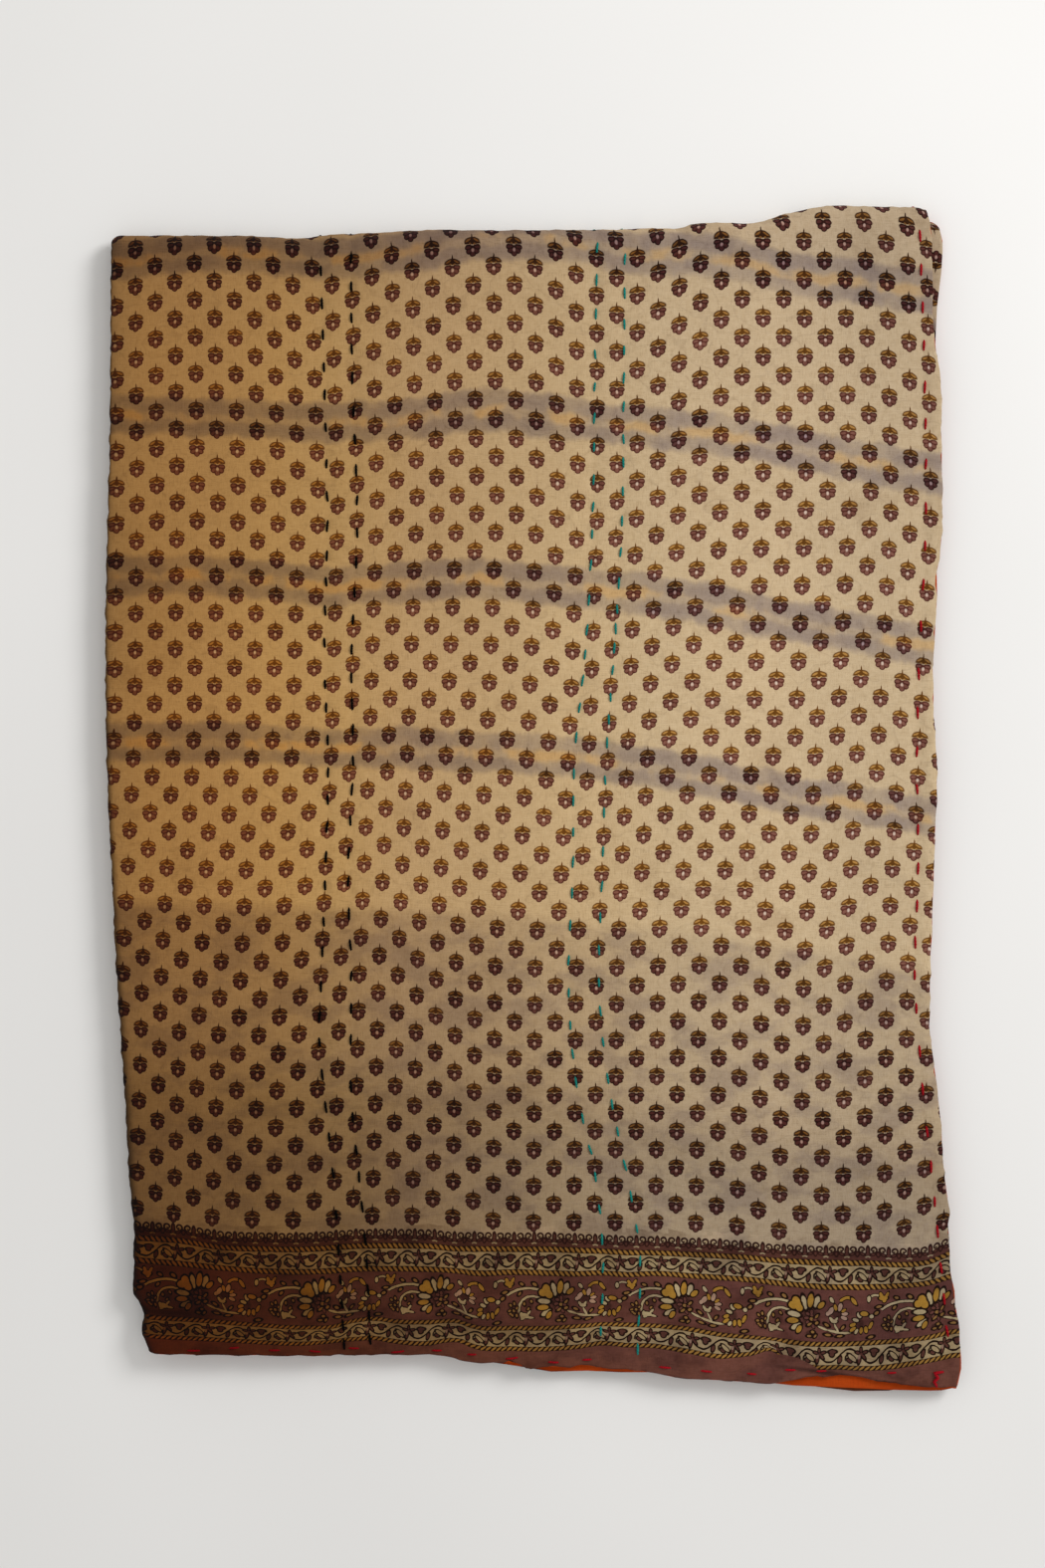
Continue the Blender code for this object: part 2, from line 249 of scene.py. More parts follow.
# How far the printed columns and rows lie beside even ones, where stitches pull the cloth.
DRIFT_PLACES = (0, 60, 120, 168, 205, 260, 330, 368, 400, 470, 540, 600, 620, 650)
COLUMN_DRIFT = {
    "right": DRIFT_PLACES,
    "at_150": (-7.7, -1.5, 0.2, 0.0, 1.8, 2.3, 2.6, 2.6, 2.1, 2.2, -0.1, -2.2, -1.8, -1.3),
    "at_330": (-5.5, -1.9, -1.0, 0.0, 1.9, 4.9, 6.8, 6.3, 6.3, 4.9, 2.5, 1.3, 0.8, 0.0),
    "at_510": (-8.1, -7.2, -4.9, -3.8, -1.1, 1.9, 1.8, 0.9, 2.5, 1.2, -1.4, -2.9, -3.4, -4.1),
    "at_690": (-5.1, -4.4, -4.2, -3.1, -1.6, -1.0, 0.1, -0.2, 1.0, -0.5, -4.2, -7.6, -7.4, -7.1),
    "at_870": (1.0, 3.1, 4.7, 7.1, 7.5, 8.0, 7.0, 6.6, 6.6, 4.2, 3.0, 2.2, 1.1, 4.2),
}
ROW_DRIFT = {
    "right": DRIFT_PLACES,
    "at_150": (19.1, 9.5, 5.2, 4.9, 7.3, 5.8, 1.2, 1.6, 1.3, -0.4, -6.8, -5.3, -2.6, 1.4),
    "at_330": (9.3, 4.6, 2.0, 5.2, 6.9, 1.9, -3.7, -3.2, -3.4, -1.9, -5.6, -0.1, -1.2, -2.9),
    "at_510": (0.3, 0.4, 0.2, 1.6, 4.2, 2.6, -0.8, -3.5, -1.3, 1.6, 1.2, 2.2, -0.6, -4.8),
    "at_690": (-7.3, -3.7, -5.8, -7.5, -2.5, 1.2, 0.3, -4.0, -2.9, 1.6, 3.8, 2.3, -0.6, -4.9),
    "at_870": (-13.6, -7.0, -7.9, -10.5, -3.5, 3.0, 3.8, -2.7, -4.7, 7.3, 7.8, 6.5, 3.7, -0.4),
}
DRIFT_HEIGHTS = (150, 330, 510, 690, 870)
# The even print's first column and row, and how much it leans.
FIELD_LEFT, FIELD_LEAN = 297.34, 0.029149
FIELD_TOP, FIELD_TURN = 533.16, 0.0041
# Heights of the border's four rope lines.
ROPE_LINES = {
    "right": (25, 58, 90, 118, 157, 180, 190, 208, 227, 250, 270, 287, 315, 343, 365, 381, 404,
              427, 450, 474, 497, 520, 526, 543, 566, 589, 612, 635, 655),
    "rope_1": (122.8, 120.7, 115.3, 114.1, 113.7, 114.9, 115.6, 116.0, 116.0, 115.6, 113.7,
               113.7, 113.3, 113.3, 112.6, 111.8, 110.6, 110.3, 109.1, 107.9, 106.4, 104.3,
               104.1, 103.4, 102.9, 102.9, 101.4, 103.3, 111.3),
    "rope_2": (105.8, 103.1, 99.7, 97.4, 96.2, 97.0, 97.7, 98.1, 98.1, 97.7, 96.6, 94.7, 95.8,
               95.0, 94.3, 95.0, 93.5, 94.6, 92.7, 91.2, 89.6, 87.0, 86.5, 85.0, 84.1, 84.3, 85.4,
               87.6, 93.1),
    "rope_3": (62.0, 60.0, 57.6, 55.4, 53.1, 54.3, 57.8, 59.5, 57.0, 57.0, 57.8, 52.8, 52.4,
               52.4, 54.2, 55.4, 55.0, 53.9, 51.8, 47.5, 45.0, 42.8, 42.1, 40.1, 40.1, 41.3, 42.8,
               45.4, 49.9),
    "rope_4": (48.0, 46.2, 44.5, 42.7, 41.5, 43.3, 44.3, 44.8, 41.6, 40.6, 43.5, 37.8, 36.5,
               36.5, 38.5, 40.8, 39.3, 38.5, 34.5, 30.6, 32.5, 33.2, 24.6, 22.4, 22.0, 21.2, 23.5,
               27.2, 31.2),
}
ROPE_PLACES = (0.0, 17.3, 60.6, 77.6)  # the ropes' places across the even print
BORDER_DEPTH = 88.0   # of the border, from its upper rope to the cloth's edge
BORDER_REPEATS = {
    "right": (-33, 62.6, 156.7, 248.1, 340.4, 435.5, 533.3, 630.0, 726.6),
    "repeat": (-1, 0, 1, 2, 3, 4, 5, 6, 7),
}
BAND_PITCH = 124.0  # of the bands, where none shows
# Middles of the bands that show through from the layers below.
SHOW_THROUGH = {
    "right": (0, 112, 165, 227, 289, 350, 412, 474, 535, 581, 612, 650),
    "band_5": (382, 378, 376, 374, 372, 366.5, 360.5, 354, 345.5, 337, 330, 322),
    "band_4": (504, 503, 500, 499, 495.5, 493, 485, 475, 461, 456, 450, 443),
    "band_3": (633, 630, 623.5, 628, 630, 624, 618.5, 608, 596, 588, 582, 575),
    "band_2": (757, 752.5, 750.5, 752, 759.5, 754, 746.5, 740.5, 730, 720, 714.5, 710),
    "band_1": (873, 881, 875, 880, 890, 890, 880, 877, 863, 858, 853.5, 848),
}


def smooth_step(value):
    """0 below 0, 1 above 1, and a soft rise between."""
    clipped = np.clip(value, 0.0, 1.0)
    return clipped * clipped * (3.0 - 2.0 * clipped)


def along_table(place, table, column):
    """The table's column at a place, with a soft curve between its points."""
    places = np.array(table[next(iter(table))], float)
    values = np.array(table[column], float)
    slopes = np.gradient(values, places)
    place = np.clip(place, places[0], places[-1])
    low = np.clip(np.searchsorted(places, place) - 1, 0, len(places) - 2)
    span = places[low + 1] - places[low]
    part = (place - places[low]) / span
    rise = values[low + 1] - values[low]
    start = slopes[low] * span - rise
    end = rise - slopes[low + 1] * span
    bend = part * (1.0 - part) * (start * (1.0 - part) + end * part)
    return values[low] + rise * part + bend


# ---------------------------------------------------------------- relief of the top layer


def turned(right, up, degrees):
    """How far a place lies along a direction, and how far to its left."""
    turn = math.radians(degrees)
    aside = up * math.cos(turn) - right * math.sin(turn)
    return right * math.cos(turn) + up * math.sin(turn), aside


def bell(aside, half_width):
    """1 in the middle, and softly less aside."""
    return np.exp(-((aside / half_width) ** 2))


def billow_relief(across, down):
    """Height of the top layer above its even place, as in the CAD part."""
    flattened = smooth_step(across / LOFT_SPAN) * smooth_step(down / LOFT_SPAN)
    fold_distance = np.maximum(np.minimum(across, down), 0.0)
    near_fold = np.maximum(1.0 - fold_distance / EDGE_SPAN, 0.0) ** 2
    shift = -LOFT_DROP * flattened - EDGE_DROP * near_fold
    for right, up, wide, long, turn, height in zip(*BILLOWS.values()):
        along, aside = turned(across - right, (LENGTH - down) - up, turn)
        shift = shift + height * np.exp(-((along / wide) ** 2 + (aside / long) ** 2))
    return shift


def crease_relief(x, y):
    """Soft troughs and ridges along the creases."""
    relief = 0.0 * x
    for from_x, from_up, to_x, to_up, half_width, height in CREASES:
        run_x, run_y = to_x - from_x, to_up - from_up
        length = math.hypot(run_x, run_y)
        along = ((x - from_x) * run_x + (y - from_up) * run_y) / length
        aside = ((x - from_x) * run_y - (y - from_up) * run_x) / length
        beyond = np.maximum(np.maximum(-along, along - length), 0.0)
        inside = np.clip(np.minimum(along, length - along) / (0.35 * length) + 0.35, 0.0, 1.0)
        relief += height * inside * np.exp(-(aside**2 + 2.0 * beyond**2) / half_width**2)
    return relief


def stitch_relief(x, y):
    """Troughs that the stitch rows draw in, deepest at each stitch, with puckers beside them."""
    relief = 0.0 * x
    for name, row in STITCH_ROWS.items():
        aside = x - along_table(y, STITCH_COURSES, name)
        places = np.array(row["up"][::-1], float)
        phase = 2.0 * math.pi * np.interp(y, places, np.arange(len(places)))
        trough = bell(aside, TROUGH[0]) * (TROUGH[1] + 0.3 * np.cos(phase))
        valley = VALLEY[1] * bell(aside, VALLEY[0])
        pucker = PUCKER[1] * np.cos(phase + 0.05 * aside) * bell(aside, PUCKER[0])
        relief -= trough + valley + pucker
    hem = along_table(x, BOTTOM_EDGE, "y") + HEM_ROW_RISE
    return relief - HEM_TROUGH[1] * bell(y - hem, HEM_TROUGH[0])


def ripple_relief(x, y):
    """Small uneven waves all over the cloth."""
    waves = (
        # wavelength, direction in degrees, height
        (131.0, 12.0, 0.30),
        (83.0, 74.0, 0.22),
        (57.0, -38.0, 0.16),
        (41.0, 21.0, 0.10),
        (29.0, 95.0, 0.09),
        (19.0, -62.0, 0.05),
    )
    relief = 0.0 * x
    for index, (wavelength, direction, height) in enumerate(waves):
        along, aside = turned(x, y, direction)
        bend = 0.9 * np.sin(aside * 2.0 * math.pi / (2.3 * wavelength) + index)
        relief += height * np.sin(along * 2.0 * math.pi / wavelength + bend + 1.7 * index)
    return relief


def under_relief(across, share, side_turn, top_turn):
    """Troughs of the stitch rows in the underside, so that their stitches lie above the ground."""
    under = (top_turn < 0.0) * np.sin(-top_turn) * (side_turn > 1.0)
    half_width, depth = UNDER_TROUGH
    relief = 0.0 * across
    for place in COLUMN_ANCHORS.values():
        relief = relief + depth * bell(across - place - course_shift(place, share), half_width)
    return under * relief


# ---------------------------------------------------------------- form of the folded cloth


def edge_offset(ahead, behind, place, side_turn, top_turn):
    """How far a layer's free edge lies beyond the front's outer layer, blended round the folds."""
    inner = 0.5 - 0.5 * np.sin(side_turn)
    back = 0.5 - 0.5 * np.sin(top_turn)
    front = inner * along_table(place, ahead, "front_inner")
    far = inner * along_table(place, behind, "back_inner")
    far = far + (1.0 - inner) * along_table(place, behind, "back_outer")
    return front + back * (far - front)


def uneven(place, start):
    """Small irregular waves of an edge."""
    shift = 0.0 * place
    for index, (wavelength, height) in enumerate(EDGE_WAVES):
        turn = 2.0 * math.pi * place / wavelength + start * (index + 1.3)
        shift = shift + height * np.sin(turn + 0.7 * np.sin(0.37 * turn))
    return shift


def outline(x, y):
    """The left and right edges at a height, and the top and bottom edges at a place across."""
    left = along_table(y, LEFT_EDGE, "x") + uneven(y, 0.4)
    right = along_table(y, RIGHT_EDGE, "x") + uneven(y, 2.9)
    top = along_table(x, TOP_EDGE, "y") + 0.6 * uneven(x, 4.4)
    bottom = along_table(x, BOTTOM_EDGE, "y") + uneven(x, 1.7)
    return left, right, top, bottom


def place_inside(across, down):
    """The place inside the outline of a point across and down the even cloth."""
    x, y = OUTLINE_LEFT + across, OUTLINE_TOP - down
    for _ in range(3):  # the edges' shapes depend on the place itself, so it is found in rounds
        left, right, top, bottom = outline(x, y)
        x = left + across / WIDTH * (right - left)
        y = top + down / LENGTH * (bottom - top)
    return x, y


def folded_points(across, side_turn, share, top_turn, on_top_fold, out):
    """Points of the folded quilt, out millimetres from the middle of its cloths, to its face."""
    free = np.clip((across - SIDE_REACH) / (WIDTH - SIDE_REACH), 0.0, 1.0)
    up = LENGTH * (1.0 - share)
    side = edge_offset(RIGHT_OFFSET, RIGHT_OFFSET, up + 0.0 * across, side_turn, top_turn)
    even, across = across, across + free * side
    middle_radius = TOP_RISE + SIDE_RISE * np.sin(side_turn)
    radius = middle_radius + out * np.sin(side_turn)
    across_out = across - out * np.cos(side_turn)
    above_hem = HEM_LEFT + across / WIDTH * HEM_SPAN
    beyond = edge_offset(BOTTOM_OFFSET_AHEAD, BOTTOM_OFFSET_BEHIND, above_hem, side_turn, top_turn)
    flat_down = TOP_REACH + share * (LENGTH + beyond - TOP_REACH)
    down = np.where(on_top_fold, TOP_REACH - TOP_STRETCH * radius * np.cos(top_turn), flat_down)
    middle_down = TOP_REACH - TOP_STRETCH * middle_radius * np.cos(top_turn)
    middle_down = np.where(on_top_fold, middle_down, flat_down)
    x, y = place_inside(across_out, down)
    lift = (middle_radius * np.sin(top_turn) + OUTER_RISE) / (2.0 * OUTER_RISE)
    height = radius * np.sin(top_turn) + OUTER_RISE + LAYER_HALF
    shift = billow_relief(across, middle_down)
    shift = shift + crease_relief(x, y) + stitch_relief(x, y) + ripple_relief(x, y)
    height = height + under_relief(even, share, side_turn, top_turn)
    return np.stack([x, y, height + lift * shift], axis=-1)


def front_point(x, y, out):
    """A point above the front's outer layer, at a place seen from above."""
    x, y = np.asarray(x, float), np.asarray(y, float)
    left, right, top, bottom = outline(x, y)
    down = LENGTH * (top - y) / (top - bottom)
    across = WIDTH * (x - left) / (right - left)
    share = (down - TOP_REACH) / (LENGTH - TOP_REACH)
    return folded_points(across, QUARTER, share, QUARTER, False, out)


def fold_point(across, turns, out):
    """Points over the top fold."""
    return folded_points(across, QUARTER, 0.0 * turns, turns, True, out)


def back_point(across, down, out):
    """Points under the folded quilt, on its lowest layer."""
    share = (down - TOP_REACH) / (LENGTH - TOP_REACH)
    return folded_points(across, QUARTER, share, -QUARTER, False, out)


RIM_STRETCH = 3.0  # the grids' last stretch, at a free edge
EVEN_REACH = 120.0  # how far from the side fold the columns stay even


def spaced(places, steps):
    """Places between the given ones, about a step apart in each stretch."""
    found = []
    for start, end, step in zip(places, places[1:], steps):
        count = max(1, round((end - start) / step))
        found += [start + (end - start) * part / count for part in range(count)]
    return found + [places[-1]]


def fold_turns(steps):
    """Angles round a fold between its two flat parts, which are at +90 and -90 degrees."""
    return [math.pi * (0.5 - step / steps) for step in range(1, steps)]


def cloth_rows(front_steps, back_steps, fold_steps):
    """The share of the way down, the angle round the top fold and the distance along the cloth."""
    span = LENGTH - TOP_REACH
    # the steps change at these distances from the fold, and are finest at the free edge
    front = spaced((0.0, 40.0, span - 95.0, span - RIM_STRETCH, span), front_steps)
    back = spaced((0.0, 30.0, span - 20.0, span - RIM_STRETCH, span), back_steps)
    front, back = ([place / span for place in places] for places in (front, back))
    turns = fold_turns(fold_steps + (len(front) + len(back) + fold_steps) % 2)
    shares = front[::-1] + [0.0] * len(turns) + back
    angles = [QUARTER] * len(front) + turns + [-QUARTER] * len(back)
    on_fold = [False] * len(front) + [True] * len(turns) + [False] * len(back)
    along = [TOP_ARC + span * share for share in front[::-1]]
    along += [TOP_ARC * turn / QUARTER for turn in turns]
    along += [-TOP_ARC - span * share for share in back]
    return [np.array(values)[:, None] for values in (shares, angles, on_fold, along)]


def course_shift(place, share):
    """How far a column moves aside to follow the stitch courses."""
    up = OUTLINE_TOP - TOP_REACH - share * (LENGTH - TOP_REACH)
    left = along_table(up, LEFT_EDGE, "x")
    right = along_table(up, RIGHT_EDGE, "x")
    stops, shifts = [0.0, EVEN_REACH], [0.0 * up, 0.0 * up]
    for name, anchor in COLUMN_ANCHORS.items():
        course = WIDTH * (along_table(up, STITCH_COURSES, name) - left) / (right - left)
        stops.append(anchor)
        shifts.append(course - anchor)
    stops.append(WIDTH)
    shifts.append(0.0 * up)
    low = int(np.clip(np.searchsorted(stops, place) - 1, 0, len(stops) - 2))
    part = (place - stops[low]) / (stops[low + 1] - stops[low])
    return shifts[low] * (1.0 - part) + shifts[low + 1] * part


def cloth_columns(share, outer_steps, inner_steps, fold_steps):
    """The distance from the side fold, the angle round it and the distance along the cloth."""
    down = share[:, 0]
    # the steps are fine along the stitch rows: from 152 to 208, from 352 to 412 and beyond 610
    outer = (SIDE_REACH, 40.0, 152.0, 208.0, 352.0, 412.0, 610.0, WIDTH - RIM_STRETCH, WIDTH)
    outer_places = spaced(outer, outer_steps)[::-1]
    inner = (SIDE_REACH, 40.0, WIDTH - 20.0, WIDTH - RIM_STRETCH, WIDTH)
    inner_places = spaced(inner, inner_steps)
    turns = fold_turns(fold_steps + (len(outer_places) + len(inner_places) + fold_steps) % 2)
    outer = [place + course_shift(place, down) for place in outer_places]
    fold = [SIDE_REACH * (1.0 - math.cos(turn)) + 0.0 * down for turn in turns]
    inner = [place + 0.0 * down for place in inner_places]
    angles = [QUARTER] * len(outer) + turns + [-QUARTER] * len(inner)
    along = [SIDE_ARC + place - SIDE_REACH for place in outer]
    along += [SIDE_ARC * turn / QUARTER + 0.0 * down for turn in turns]
    along += [-SIDE_ARC - place + SIDE_REACH for place in inner]
    return np.array(outer + fold + inner).T, np.array(angles)[None, :], np.array(along).T


RIM_SPAN = 6.0  # over which the cloths close at a free edge


class Cloth:
    """A grid over the folded quilt, from which both surfaces of a cloth are made."""

    def __init__(self, row_steps, column_steps):
        self.share, self.top_turn, self.on_top_fold, along = cloth_rows(*row_steps)
        self.across, self.side_turn, self.aside = cloth_columns(self.share, *column_steps)
        self.along = along + 0.0 * self.across
        # the distance from the nearest free edge; the side fold is none
        right_rim = (WIDTH - self.across) + 1000.0 * (self.across < SIDE_REACH)
        bottom_rim = (1.0 - self.share) * (LENGTH - TOP_REACH)
        self.rim = np.minimum(right_rim, bottom_rim)

    def surface(self, out, rim_out):
        """A surface at out millimetres from the cloths' middle, and at rim_out at its edges."""
        out = out + (rim_out - out) * smooth_step(1.0 - self.rim / RIM_SPAN)
        across, share = self.across, self.share
        return folded_points(across, self.side_turn, share, self.top_turn, self.on_top_fold, out)


def drift(x, y, table):
    """The table's drift at a place, which goes evenly from each of its heights to the next."""
    found = along_table(x, table, "at_150")
    for low, high in zip(DRIFT_HEIGHTS, DRIFT_HEIGHTS[1:]):
        part = (y - low) / (high - low)
        lowest, highest = low == DRIFT_HEIGHTS[0], high == DRIFT_HEIGHTS[-1]
        part = np.clip(part, -0.25 * lowest, 1.0 + 0.25 * highest)
        step = along_table(x, table, f"at_{high}") - along_table(x, table, f"at_{low}")
        found = found + part * step
    return found


def field_places(x, y):
    """The printed field's places for points of the front, seen from above."""
    across = x - FIELD_LEFT - FIELD_LEAN * y + drift(x, y, COLUMN_DRIFT)
    return across, FIELD_TOP + FIELD_TURN * x - y + drift(x, y, ROW_DRIFT)


def between(y, lines, places, before, after):
    """The place of a height among falling lines at known places, and how fast it goes on."""
    found = places[0] + before * (lines[0] - y)
    for number, line in enumerate(lines[:-1]):
        part = (line - y) / (line - lines[number + 1])
        step = places[number + 1] - places[number]
        found = np.where(y < line, places[number] + part * step, found)
    return np.where(y < lines[-1], places[-1] + after * (lines[-1] - y), found)


def border_rise(x, y):
    """How far down the border's print a point lies, counted from its upper rope."""
    ropes = [along_table(x, ROPE_LINES, f"rope_{number}") for number in (1, 2, 3, 4)]
    return between(y, ropes, ROPE_PLACES, 1.0, 1.0)


def shown_place(x, y):
    """1 in the middle of the first band that shows through, 2 in the next, and so on."""
    bands = [along_table(x, SHOW_THROUGH, f"band_{number}") for number in (1, 2, 3, 4, 5)]
    return between(y, bands, (1, 2, 3, 4, 5), 1.0 / (bands[0] - bands[1]), 1.0 / BAND_PITCH)


def print_maps(cloth, points):
    """The cloth's places in the print. Round the folds and inside, they go on along the cloth."""
    x, y = points[..., 0], points[..., 1]
    rows, columns = np.arange(x.shape[0]), np.arange(x.shape[1])
    flat_column = int(np.argmax(cloth.side_turn[0] < QUARTER - 0.01)) - 1
    flat_row = int(np.argmax(cloth.top_turn[:, 0] < QUARTER - 0.01)) - 1
    seen = np.ix_(np.minimum(rows, flat_row), np.minimum(columns, flat_column))
    seen_x, seen_y = x[seen], y[seen]
    beyond_x = np.minimum(cloth.aside - cloth.aside[:, flat_column][:, None], 0.0)
    beyond_y = np.minimum(cloth.along - cloth.along[flat_row][None, :], 0.0)
    beyond_x = np.where(columns[None, :] > flat_column, beyond_x, 0.0)
    beyond_y = np.where(rows[:, None] > flat_row, beyond_y, 0.0)
    field_x, field_y = field_places(seen_x, seen_y)
    border_x = REPEAT * along_table(seen_x, BORDER_REPEATS, "repeat") + beyond_x
    border_y = border_rise(seen_x, seen_y) + beyond_y
    # The far end of the cloth, which lies under the folded quilt, has the same border.
    border_y = np.maximum(border_y, -(cloth.along + LENGTH - BORDER_DEPTH))
    wash_y = shown_place(seen_x, seen_y) + beyond_y / BAND_PITCH
    return {
        "field": (field_x + beyond_x, field_y + beyond_y),
        "border": (border_x, border_y),
        "wash": (seen_x - along_table(seen_y, LEFT_EDGE, "x") + beyond_x, wash_y),
        "place": (seen_x + beyond_x, seen_y - beyond_y),
    }


# ---------------------------------------------------------------- meshes

BOX_MIDDLE = np.array((329.157, 460.122, 0.0))  # of the CAD part, on the ground


def to_metres(points):
    """The frame's metres, which are counted from the middle of the box."""
    return (np.asarray(points, float) - BOX_MIDDLE) * MM


# The baked map's layout, from 0 to 1: the place of a fold's middle, and the room for the cloth
# that shows from above and for the cloth on the fold's other side.
BAKE_ACROSS = (0.13, 0.80, 0.126)
BAKE_UP = (0.17, 0.826, 0.157)
BAKE_MARGIN = 0.004
FAR_STRIP = (0.937, 0.06)  # left edge and width of the far side's strip


def laid_out(along, fold, seen, hidden):
    """Distances from a fold's middle as places in the baked map."""
    ahead, behind = fold + seen * along / along.max(), fold - hidden * along / along.min()
    return np.where(along > 0, ahead, behind)


def bake_map(cloth):
    """A map of the cloth for its two surfaces, with the most room for what shows from above."""
    u, v = laid_out(cloth.aside, *BAKE_ACROSS), laid_out(cloth.along, *BAKE_UP)
    share = (u - BAKE_MARGIN) / (BAKE_ACROSS[1] + BAKE_ACROSS[2])
    return (u, v), (FAR_STRIP[0] + FAR_STRIP[1] * share, v)


def corners(grid):
    """The values at the four corners of each of a grid's cells."""
    return [grid[:-1, :-1], grid[1:, :-1], grid[1:, 1:], grid[:-1, 1:]]


def ring_of(index):
    """The indices along the rim of a grid."""
    return np.concatenate([index[:-1, 0], index[-1, :-1], index[:0:-1, -1], index[0, :0:-1]])


def both_sides(u, v):
    """A map of the face side's points, and then of the far side's, which are half as many."""
    near = np.stack([u.ravel(), v.ravel()], axis=1)
    return near, np.stack([u[::2, ::2].ravel(), v[::2, ::2].ravel()], axis=1)


def add_map(mesh, name, places):
    """Adds a map to the mesh. Its places are those of the faces' corners."""
    layer = mesh.uv_layers.new(name=name)
    layer.uv.foreach_set("vector", places.astype(np.float32).ravel())


def rim_strip(count):
    """Places in the baked map for the rim's faces, in a strip along its lower edge."""
    step = (1.0 - 2.0 * BAKE_MARGIN) / count
    start = BAKE_MARGIN + step * np.arange(count)
    low, high = 0.5 * BAKE_MARGIN, 2.0 * BAKE_MARGIN
    u = np.stack([start, start, start + step, start + step, start + 0.5 * step], axis=1)
    v = np.tile([high, low, low, high, high], (count, 1))
    return np.stack([u, v], axis=-1).reshape(-1, 2)


def add_object(name, data):
    """Adds an object with this mesh, light or camera to the scene."""
    thing = bpy.data.objects.new(name, data)
    bpy.context.scene.collection.objects.link(thing)
    return thing


def sheet_object(name, cloth, face_side, far_side, materials, pick, maps):
    """A closed sheet between two surfaces. The far one has half as many rows and columns."""
    far_side = far_side[::2, ::2]
    points = to_metres(np.concatenate([face_side.reshape(-1, 3), far_side.reshape(-1, 3)]))
    count = face_side[..., 0].size
    index = np.arange(count).reshape(face_side.shape[:2])
    far = np.arange(far_side[..., 0].size).reshape(far_side.shape[:2]) + count
    face_faces = np.stack(corners(index), axis=-1).reshape(-1, 4)
    far_corners = corners(far)
    far_corners = far_corners[:1] + far_corners[:0:-1]
    far_faces = np.stack(far_corners, axis=-1).reshape(-1, 4)
    ring, far_ring = ring_of(index), ring_of(far)
    between = np.roll(ring, -1)[::2]
    rim = [ring[::2], far_ring, np.roll(far_ring, -1), np.roll(ring[::2], -1), between]
    rim = np.stack(rim, axis=-1)
    faces = (face_faces, far_faces, rim)
    mesh = bpy.data.meshes.new(name)
    mesh.from_pydata(points.tolist(), [], [face for part in faces for face in part.tolist()])
    for material in materials:
        mesh.materials.append(material)
    slots = [pick.ravel(), pick[::2, ::2].ravel(), np.full(len(rim), pick.max())]
    mesh.polygons.foreach_set("material_index", np.concatenate(slots).astype(np.int32))
    loops = np.concatenate([part.ravel() for part in faces])
    for map_name, (u, v) in maps.items():
        add_map(mesh, map_name, np.concatenate(both_sides(u, v))[loops])
    near, behind = bake_map(cloth)
    baked = np.concatenate([both_sides(*near)[0], both_sides(*behind)[1]])[loops]
    baked[-rim.size :] = rim_strip(len(rim))
    add_map(mesh, "OFBake", baked)
    mesh.validate()
    mesh.shade_smooth()
    return add_object(name, mesh)


# ---------------------------------------------------------------- shader helpers


def colour(red, green, blue):
    """A colour as seen on a screen, from 0 to 255, for a shader."""
    parts = []
    for part in (red, green, blue):
        share = part / 255.0
        parts.append(share / 12.92 if share <= 0.04045 else ((share + 0.055) / 1.055) ** 2.4)
    return (*parts, 1.0)


